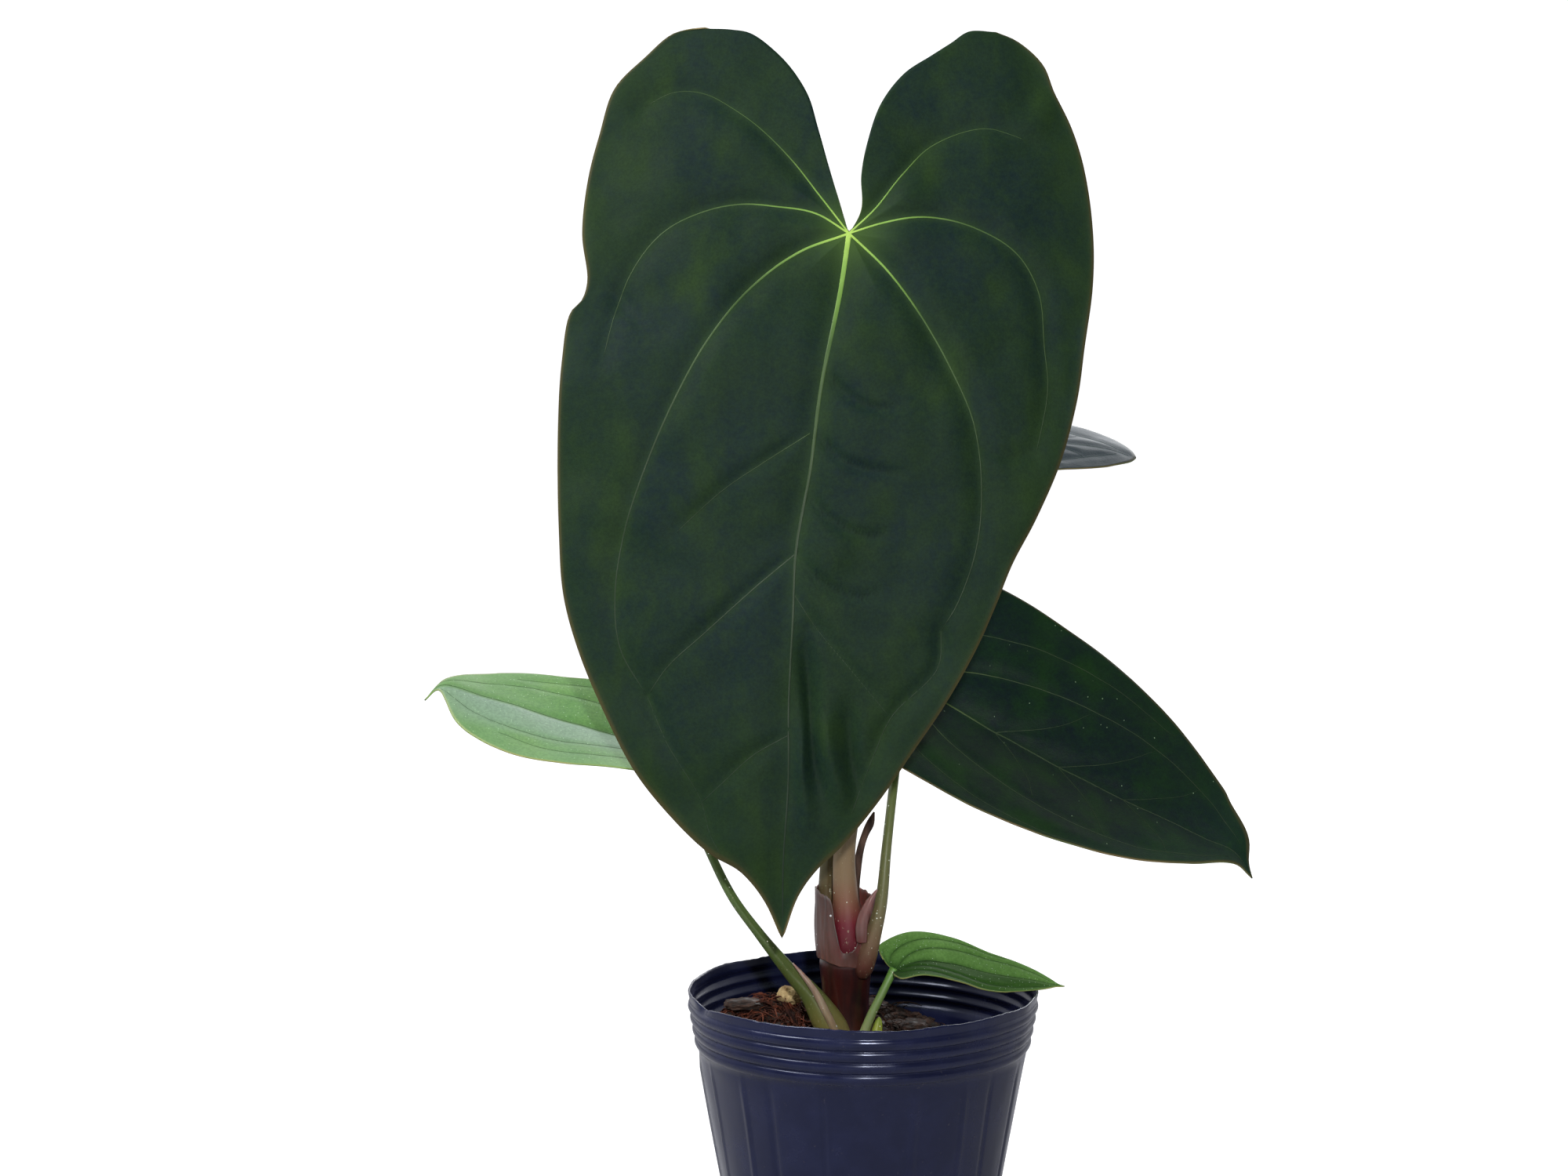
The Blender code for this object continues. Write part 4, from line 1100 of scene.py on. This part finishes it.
def velvet(name, deep, green, bright, glow, roughness=0.62, sheen=0.03, sheen_tint=rgb(0.5, 0.75, 0.6),
           glint=0.0, level=0.1, halo=0.22, rim=rgb(0.11, 0.085, 0.035), painted_lighting_color=None, painted_lighting_band=()):
    """Velvet leaf: deep colour broken by greener patches, greener along veins and near margins."""
    made, tree, shader = plain_finish(
        name, Roughness=roughness, Specular_IOR_Level=level, Sheen_Weight=sheen, Sheen_Roughness=0.45,
        Sheen_Tint=sheen_tint
    )
    base = mix_color(tree, patches(tree, 38.0, 0.4, 0.64, 0.8), deep, green)
    streaks = calculate(tree, "MULTIPLY", patches(tree, 75.0, 0.48, 0.7, 0.55, 2.0), 0.75)
    base = mix_color(tree, streaks, base, bright)
    dark = calculate(tree, "MULTIPLY", patches(tree, 26.0, 0.5, 0.72, shift=7.0), 0.6)
    base = mix_color(tree, dark, base, deep)
    mottle = patches(tree, 520.0, 0.35, 0.7, shift=9.0)
    base = mix_color(tree, calculate(tree, "MULTIPLY", mottle, 0.3), base, bright)
    # Painted light by the across mark: a paler blue-grey band is painted sheen on the left blade, and a darker near
    # half is painted shade on the small blade.
    if painted_lighting_band:
        place = calculate(tree, "MULTIPLY", attribute(tree, "across"), 0.5)
        steps = [(position, amount, amount, amount) for position, amount in painted_lighting_band]
        amount = color_steps(tree, calculate(tree, "ADD", place, 0.5), *steps)
        base = mix_color(tree, amount, base, painted_lighting_color)
    fine = calculate(tree, "MULTIPLY", patches(tree, 1300.0, 0.4, 0.62, shift=12.0), 0.4)
    base = mix_color(tree, fine, base, rgb(0.45, 0.5, 0.5), "MULTIPLY")
    base = mix_color(tree, calculate(tree, "MULTIPLY", attribute(tree, "margin"), 0.3), base, bright)
    base = mix_color(tree, calculate(tree, "MULTIPLY", attribute(tree, "halo"), halo), base, glow)
    base = mix_color(tree, calculate(tree, "MULTIPLY", attribute(tree, "hub"), 0.8), base, glow)
    base = mix_color(tree, calculate(tree, "MULTIPLY", attribute(tree, "edge"), 0.7), base, rim)
    # Glints are painted highlights: small pale spots painted into the base colour.
    if glint:
        base = mix_color(tree, glints(tree, 1100.0, 0.15, glint), base, rgb(0.4, 0.58, 0.36))
    tree.links.new(base, shader.inputs["Base Color"])
    tree.links.new(grain(tree, 2200.0, 0.035), shader.inputs["Normal"])
    return made, tree, shader


def underside(name, pale, dark):
    """A leaf's underside: paler and duller, with a faint net of small veins."""
    made, tree, shader = plain_finish(name, Roughness=0.6, Specular_IOR_Level=0.3)
    base = mix_color(tree, patches(tree, 50.0, 0.4, 0.62), pale, dark)
    place = add_node(tree, "TexCoord").outputs["Object"]
    net = add_node(tree, "TexVoronoi", {"Vector": place, "Scale": 260.0}, feature="DISTANCE_TO_EDGE")
    lines = add_node(tree, "MapRange", {"Value": net.outputs["Distance"], "From Min": 0.0, "From Max": 0.08})
    lines.inputs["To Min"].default_value = 0.35
    lines.inputs["To Max"].default_value = 0.0
    base = mix_color(tree, lines.outputs[0], base, dark)
    tree.links.new(base, shader.inputs["Base Color"])
    tree.links.new(grain(tree, 1400.0, 0.04), shader.inputs["Normal"])
    return made


def vein_skin(name, *steps):
    """A vein's colours by its distance from the stalk, as a share of the blade's length."""
    made, tree, shader = plain_finish(name, Roughness=0.5, Specular_IOR_Level=0.3)
    base = color_steps(tree, attribute(tree, "rise"), *steps)
    uneven = calculate(tree, "MULTIPLY", patches(tree, 260.0, 0.4, 0.7, shift=4.0), 0.4)
    base = mix_color(tree, uneven, base, rgb(0.5, 0.6, 0.45), "MULTIPLY")
    tree.links.new(base, shader.inputs["Base Color"])
    tree.links.new(grain(tree, 2400.0, 0.03), shader.inputs["Normal"])
    return made


def margin_skin(name, tan, green):
    """The blade's thin edge: tan and a little translucent, greener in places."""
    made, tree, shader = plain_finish(name, Roughness=0.55, Specular_IOR_Level=0.3)
    base = mix_color(tree, patches(tree, 60.0, 0.4, 0.6), tan, green)
    tree.links.new(base, shader.inputs["Base Color"])
    tree.links.new(grain(tree, 1500.0, 0.03), shader.inputs["Normal"])
    return made


MAIN_LEAF = {
    "left": [
        (-48, -59), (-57, -57), (-65, -49), (-73, -39), (-76, -25), (-78, -11), (-78, 6), (-75, 20),
        (-76, 26), (-79, 30), (-80, 45), (-79, 68), (-76, 96), (-73, 114), (-67, 130), (-58, 147),
        (-47, 164), (-34, 177), (-23, 185), (-14, 189), (-6, 197), (0, 207),
    ],
    "right": [
        (38, -66), (45, -64), (53, -58), (57, -50), (63, -40), (68, -27), (72, -8), (73, 8), (72, 25),
        (71, 42), (67.5, 62), (61.5, 80), (56, 93), (52, 106), (47.5, 119), (40.2, 135), (31.8, 150), (23.3, 165),
        (14, 179), (8, 186), (3, 195), (0, 207),
    ],
    "sinus_left": [
        (0, 0), (-3, -7), (-8, -20), (-12, -31), (-16, -41), (-24, -51), (-34, -58), (-40, -59),
        (-48, -59),
    ],
    "sinus_right": [
        (0, 0), (3, -7), (2, -17), (3, -28), (6, -40), (12, -50), (19, -56), (25, -61), (30, -65),
        (38, -66),
    ],
    "half_width": 78.0,
    "length": 207.0,
    "spine": [(-4.6, -6, 317.8), (-9, -22, 272), (-14, -33, 218), (-19, -40, 165), (-24.3, -42, 114.9)],
    "side": [(0.995, 0, -0.094), (0.995, 0, -0.094)],
    "fold": [(0, 0), (0, 0)],
    "curl": (-9, -9),
    "swell": 1.7,
    "swell_size": 26.0,
    "trough": 1.9,
    "trough_width": 3.6,
    # Each vein: its flat route, then its width in mm at the start and at the end.
    "veins": [
        ([(0, 0), (-1, 18), (-4, 47), (-5, 72), (-7, 95), (-6, 117), (-5, 140), (-3, 162), (-2, 185),
          (0, 205)], 2.2, 0.5),
        ([(0, 0), (-14, 7), (-27, 19), (-39, 38), (-47, 57), (-53, 76), (-57, 94), (-58, 113),
          (-55, 128), (-46, 141)], 1.1, 0.4),
        ([(0, 0), (12, 10), (23, 23), (32, 36), (41, 53), (45, 72), (45, 90), (41, 106), (37, 114)],
         1.0, 0.35),
        ([(0, 0), (-10, -5), (-22, -6), (-33, -6), (-45, -2), (-55, 5), (-62, 16), (-66, 30),
          (-68, 44)], 0.9, 0.25),
        ([(0, 0), (10, -4), (24, -7), (38, -5), (50, 1), (57, 11), (60, 27), (62, 41), (60, 61)],
         0.9, 0.25),
        ([(0, 0), (-9, -10), (-19, -21), (-31, -31), (-46, -39), (-55, -39), (-64, -34)], 0.8, 0.2),
        ([(0, 0), (7, -8), (14, -19), (22, -29), (37, -36), (50, -34)], 0.8, 0.2),
        ([(-6, 61), (-19, 71), (-30, 80), (-42, 93)], 0.35, 0.15),
        ([(-7, 96), (-18, 107), (-31, 121), (-41, 132), (-46, 141)], 0.55, 0.3),
        ([(-4, 148), (-14, 155), (-22, 164), (-28, 171)], 0.4, 0.2),
        ([(-46, 141), (-39, 154), (-28, 169), (-24, 179), (-20, 185)], 0.35, 0.2),
        ([(-7, 107), (1, 117), (11, 127), (24, 140)], 0.35, 0.2),
        ([(37, 114), (37, 125), (25, 140), (21, 151), (16, 169)], 0.35, 0.2),
    ],
    # Each crease: its flat route, its height in mm (negative sinks) and its half width in mm.
    "creases": [
        ([(-3, 43), (4, 49), (12, 52), (20, 51)], -0.7, 1.3),
        ([(-4, 61), (4, 68), (13, 70), (22, 70)], -0.7, 1.3),
        ([(-5, 79), (3, 86), (12, 89), (20, 88)], -0.7, 1.3),
        ([(-6, 97), (2, 104), (11, 107), (19, 105)], -0.6, 1.3),
        ([(-2, 118), (0, 135), (3, 150), (9, 166)], -2.0, 3.0),
        ([(4, 140), (8, 155), (15, 168)], 1.8, 3.2),
        ([(12, 138), (14, 152), (17, 163)], -1.3, 2.4),
        ([(-3, 128), (0, 146), (1, 160), (4, 173)], 1.1, 2.0),
        ([(44, 60), (52, 62), (59, 60)], -0.5, 1.6),
        ([(-75, 20), (-66, 24), (-56, 34)], -0.6, 3.0),
        ([(57, -50), (52, -40), (44, -32)], 0.6, 4.0),
    ],
}  # fmt: skip

main_velvet, tree, shader = velvet(
    "main_velvet", rgb(0.006, 0.018, 0.018), rgb(0.009, 0.025, 0.012), rgb(0.019, 0.044, 0.009),
    rgb(0.05, 0.1, 0.02)
)  # fmt: skip
main_under = underside("main_underside", rgb(0.13, 0.2, 0.09), rgb(0.08, 0.14, 0.06))
tan_margin = margin_skin("tan_margin", rgb(0.2, 0.15, 0.06), rgb(0.1, 0.14, 0.04))
blade_piece(
    "main_blade", MAIN_LEAF, 330, 110, 0.55, "velvet_blade", [main_velvet, main_under, tan_margin],
    "main_leaf_blade"
)  # fmt: skip
pale_vein = vein_skin(
    "pale_vein", (0.0, 0.38, 0.58, 0.1), (0.05, 0.22, 0.4, 0.07), (0.16, 0.055, 0.11, 0.026),
    (0.4, 0.02, 0.042, 0.015), (0.9, 0.011, 0.026, 0.013)
)  # fmt: skip
under_vein = vein_skin("under_vein", (0.0, 0.36, 0.42, 0.16), (0.3, 0.26, 0.34, 0.14), (1.0, 0.16, 0.24, 0.1))
vein_ribbons("main_veins", MAIN_LEAF, 0.55, "velvet_blade", pale_vein, under_vein)

# ---------------------------------------------------------------- the four smaller leaves
# Younger blades share one heart outline. The right one is dark with a drip tip, the left one pale green with a
# whitish band of painted sheen, the small one bright green with painted shade on its near half, and the back one
# painted blue-grey as sheen.

HEART_LOBE = [(-0.42, -0.19), (-0.68, -0.18), (-0.88, -0.10), (-0.99, 0.05), (-1.0, 0.22)]
HEART_SLIM = [(-0.92, 0.42), (-0.72, 0.64), (-0.42, 0.82), (-0.17, 0.92), (-0.05, 0.96), (0.0, 1.0)]
HEART_FULL = [(-0.98, 0.42), (-0.90, 0.62), (-0.60, 0.80), (-0.22, 0.90), (-0.04, 0.94), (0.0, 1.0)]
HEART_SINUS = [(0.0, 0.0), (-0.06, -0.04), (-0.14, -0.11), (-0.26, -0.17), (-0.42, -0.19)]
HEART_BLUNT = [(-0.98, 0.42), (-0.92, 0.62), (-0.74, 0.80), (-0.46, 0.92), (-0.2, 0.98), (0.0, 1.0)]
# Each vein of the shared heart: its route on one half, then its share of the midrib's width.
HEART_VEINS = [
    ([(0, 0), (0.16, 0.05), (0.36, 0.16), (0.5, 0.33), (0.54, 0.52), (0.45, 0.69), (0.28, 0.82),
      (0.08, 0.92)], 0.55),
    ([(0, 0), (0.25, -0.02), (0.5, 0.03), (0.7, 0.15), (0.8, 0.3), (0.79, 0.48), (0.66, 0.66)], 0.45),
    ([(0, 0), (0.15, -0.07), (0.35, -0.12), (0.58, -0.11), (0.76, -0.03)], 0.4),
    ([(0, 0.26), (0.16, 0.34), (0.32, 0.4), (0.5, 0.44)], 0.3),
    ([(0, 0.44), (0.15, 0.52), (0.3, 0.58), (0.48, 0.63)], 0.3),
    ([(0, 0.62), (0.12, 0.69), (0.24, 0.75), (0.36, 0.78)], 0.25),
]  # fmt: skip


def heart(half_width, length, midrib, taper, widths=(1.0, 1.0), lobes=1.0, pairs=6, **form):
    """A leaf of the shared heart outline at this size, with its veins and its form in space."""
    scaled = [
        [(x * half_width, (y * lobes if y < 0 else y) * length) for x, y in line]
        for line in (HEART_LOBE + taper, HEART_SINUS)
    ]
    veins = [([(0, 0), (0, length * 0.5), (0, length * 0.97)], midrib, midrib * 0.3)]
    for route, share in HEART_VEINS[:pairs]:
        for sign in (-1, 1):
            line = [(sign * x * half_width, (y * lobes if y < 0 else y) * length) for x, y in route]
            veins.append((line, midrib * share, midrib * share * 0.4))
    return {
        "left": [(x * widths[0], y) for x, y in scaled[0]],
        "right": [(-x * widths[1], y) for x, y in scaled[0]],
        "sinus_left": [(x * widths[0], y) for x, y in scaled[1]],
        "sinus_right": [(-x * widths[1], y) for x, y in scaled[1]],
        "half_width": half_width,
        "length": length,
        "veins": veins,
        **form,
    }


RIGHT_LEAF = heart(
    42.0, 124.0, 1.0, HEART_SLIM, widths=(0.95, 1.07),
    spine=[(14, 36, 179), (48, 25, 160.5), (82, 14, 144), (103, 8, 135), (112, 5, 131), (117.5, 4, 123)],
    side=[(0.42, 0.66, 0.63), (0.42, 0.66, 0.63)],
    fold=[(24, 20), (14, 8)],
    curl=(-3, -4),
    swell=0.7, swell_size=17.0, trough=0.7, trough_width=3.6,
)  # fmt: skip
right_velvet, tree, shader = velvet(
    "right_velvet", rgb(0.004, 0.014, 0.016), rgb(0.005, 0.018, 0.013), rgb(0.01, 0.046, 0.006),
    rgb(0.03, 0.06, 0.02), roughness=0.5, glint=0.012, level=0.15
)  # fmt: skip
right_under = underside("right_underside", rgb(0.1, 0.16, 0.08), rgb(0.06, 0.1, 0.05))
blade_piece(
    "right_blade", RIGHT_LEAF, 240, 80, 0.5, "right_blade", [right_velvet, right_under, tan_margin],
    "right_leaf_blade"
)  # fmt: skip
olive_vein = vein_skin(
    "olive_vein", (0.0, 0.12, 0.18, 0.05), (0.25, 0.04, 0.07, 0.03), (0.9, 0.025, 0.045, 0.02)
)
vein_ribbons("right_veins", RIGHT_LEAF, 0.5, "right_blade", olive_vein, under_vein)

LEFT_LEAF = heart(
    24.5, 80.0, 0.5, HEART_FULL, widths=(1.0, 1.1), pairs=2,
    spine=[(-55, 0, 160.5), (-73, 0, 167.3), (-93, 0, 173), (-112, 0, 179), (-126, 0, 182.5),
           (-131, 0, 178)],
    side=[(0, -0.93, -0.37), (0, -0.93, -0.37)],
    fold=[(22, -14), (22, -16)],
    curl=(-1, -1),
    swell=0.35, swell_size=14.0, trough=0.55, trough_width=1.9,
)  # fmt: skip
# The blue-grey band below the midrib is painted sheen, the pale bloom this blade shows seen at a grazing angle; its
# glints are painted highlights.
left_green_painted_sheen, tree, shader = velvet(
    "left_green_painted_sheen", rgb(0.1, 0.235, 0.065), rgb(0.13, 0.28, 0.09), rgb(0.15, 0.3, 0.08),
    rgb(0.03, 0.07, 0.02), roughness=0.45, sheen=0.12, sheen_tint=rgb(0.85, 0.95, 1.0), glint=0.3,
    level=0.3, halo=0.5, rim=rgb(0.3, 0.33, 0.12), painted_lighting_color=rgb(0.24, 0.34, 0.27),
    painted_lighting_band=((0.5, 0.0), (0.53, 0.8), (0.7, 0.6), (0.82, 0.15))
)  # fmt: skip
left_under = underside("left_underside", rgb(0.3, 0.45, 0.22), rgb(0.22, 0.36, 0.14))
lime_margin = margin_skin("lime_margin", rgb(0.35, 0.36, 0.12), rgb(0.22, 0.36, 0.1))
blade_piece(
    "left_blade", LEFT_LEAF, 200, 70, 0.45, "pale_blade", [left_green_painted_sheen, left_under, lime_margin],
    "left_leaf_blade"
)  # fmt: skip
dark_vein = vein_skin("dark_vein", (0.0, 0.05, 0.1, 0.03), (1.0, 0.025, 0.06, 0.02))
vein_ribbons("left_veins", LEFT_LEAF, 0.45, "pale_blade", dark_vein, under_vein)

SMALL_LEAF = heart(
    11.5, 54.0, 0.5, HEART_SLIM, lobes=0.15, pairs=3,
    spine=[(9.4, -6, 97.6), (16.5, -4, 99.6), (27, -1, 98.2), (38, 0.5, 94.8), (50, 1, 92.8),
           (61, 1, 90.5)],
    side=[(-0.1, 0.91, 0.4), (0, 0.88, 0.47)],
    fold=[(24, -4), (22, -2)],
    curl=(-1, -1),
    swell=0.2, swell_size=8.0, trough=0.75, trough_width=1.1,
)  # fmt: skip
# Painted shade: the near half of this folded blade is painted darker green, and dark lines are painted along its
# sunken veins; its glints are painted highlights.
small_satin, tree, shader = velvet(
    "small_satin", rgb(0.12, 0.27, 0.06), rgb(0.16, 0.34, 0.08), rgb(0.21, 0.42, 0.11),
    rgb(0.012, 0.05, 0.008), roughness=0.6, sheen=0.0, glint=0.45, level=0.06, halo=0.8, rim=rgb(0.16, 0.3, 0.07),
    painted_lighting_color=rgb(0.022, 0.08, 0.009), painted_lighting_band=((0.0, 0.85), (0.44, 0.85), (0.52, 0.0))
)  # fmt: skip
small_under = underside("small_underside", rgb(0.2, 0.38, 0.12), rgb(0.14, 0.3, 0.08))
blade_piece(
    "small_blade", SMALL_LEAF, 170, 60, 0.4, "fresh_blade", [small_satin, small_under, lime_margin],
    "small_leaf_blade"
)  # fmt: skip
# Dark vein colours painted as the shade in the sunken vein grooves.
groove_shade_vein = vein_skin("groove_shade_vein", (0.0, 0.06, 0.16, 0.03), (0.15, 0.012, 0.045, 0.008), (1.0, 0.02, 0.07, 0.012))
vein_ribbons("small_veins", SMALL_LEAF, 0.4, "fresh_blade", groove_shade_vein, under_vein)

BACK_LEAF = heart(
    24.0, 79.0, 0.6, HEART_BLUNT, widths=(0.82, 1.0),
    spine=[(8, 34, 243), (32, 37, 250.5), (60, 40, 252), (76, 41, 249.6), (84.5, 41, 247)],
    side=[(0, 0.93, 0.3), (0, 0.93, 0.3)],
    fold=[(0, -4), (0, -4)],
    curl=(-2, -2),
    swell=0.4, swell_size=12.0, trough=0.9, trough_width=2.4,
)  # fmt: skip
# The blue-grey of this blade and its veins is painted sheen, the pale bloom a velvet blade shows seen at a grazing
# angle.
back_painted_sheen, tree, shader = velvet(
    "back_painted_sheen", rgb(0.014, 0.027, 0.04), rgb(0.02, 0.036, 0.048), rgb(0.028, 0.048, 0.056),
    rgb(0.07, 0.1, 0.1), roughness=0.5, sheen=0.15, sheen_tint=rgb(0.7, 0.85, 1.0), level=0.25
)  # fmt: skip
back_under = underside("back_underside", rgb(0.14, 0.2, 0.12), rgb(0.1, 0.14, 0.09))
blade_piece(
    "back_blade", BACK_LEAF, 200, 70, 0.45, "back_blade", [back_painted_sheen, back_under, tan_margin],
    "back_leaf_blade"
)  # fmt: skip
grey_vein = vein_skin("grey_vein", (0.0, 0.12, 0.16, 0.12), (1.0, 0.1, 0.14, 0.15))
vein_ribbons("back_veins", BACK_LEAF, 0.45, "back_blade", grey_vein, under_vein)

# ---------------------------------------------------------------- floor, light and camera
# A plain pale floor and a white room, lit by a broad soft light above and a smaller one in front.

bpy.ops.object.select_all(action="DESELECT")
bpy.ops.mesh.primitive_plane_add(size=8.0)
floor = bpy.context.object
floor.name = "floor"
floor_paint, tree, shader = plain_finish(
    "floor_paint",
    Base_Color=rgb(0.42, 0.42, 0.43),
    Roughness=0.9,
    Specular_IOR_Level=0.05,
    Emission_Color=rgb(1.0, 1.0, 1.0),
)
lit = add_node(tree, "LightPath").outputs["Is Camera Ray"]
tree.links.new(calculate(tree, "MULTIPLY", lit, 0.82), shader.inputs["Emission Strength"])
floor.data.materials.append(floor_paint)

world = bpy.data.worlds.new("white_room")
bpy.context.scene.world = world
world.use_nodes = True
tree = world.node_tree
seen = add_node(tree, "LightPath").outputs["Is Camera Ray"]
heading = add_node(tree, "SeparateXYZ", {"Vector": add_node(tree, "TexCoord").outputs["Generated"]})
room = add_node(tree, "MapRange", {"Value": heading.outputs["Y"], "From Min": -0.5, "From Max": 0.7})
room.inputs["To Min"].default_value = 0.1
room.inputs["To Max"].default_value = 0.9
glow = calculate(tree, "MAXIMUM", room.outputs[0], calculate(tree, "MULTIPLY", seen, 1.15))
tree.links.new(glow, tree.nodes["Background"].inputs["Strength"])
tree.nodes["Background"].inputs["Color"].default_value = rgb(0.985, 0.99, 1.0)


def soft_light(name, place, aim, width, watts):
    """A square area light in metres, turned to face a point."""
    bpy.ops.object.light_add(type="AREA", location=place)
    light = bpy.context.object
    light.name = name
    light.data.shape = "SQUARE"
    light.data.size = width
    light.data.energy = watts
    light.rotation_euler = (Vector(aim) - Vector(place)).to_track_quat("-Z", "Y").to_euler()


soft_light("broad_light", (-0.75, -0.35, 1.1), (0, 0, 0.2), 0.5, 14.0)
soft_light("front_light", (0.06, -1.25, 0.6), (0, 0, 0.2), 0.06, 9.0)
soft_light("back_light", (0.4, 1.1, 0.7), (0, 0, 0.2), 0.6, 4.0)

bpy.ops.object.camera_add(
    location=(-0.0237, -1.0925, 0.3523), rotation=(math.radians(90 - 7.324), 0, 0)
)
camera = bpy.context.object
camera.data.lens = 85.0
camera.data.sensor_width = 36.0
camera.data.clip_start = 0.01
bpy.context.scene.camera = camera
bpy.context.scene.view_settings.view_transform = "Standard"
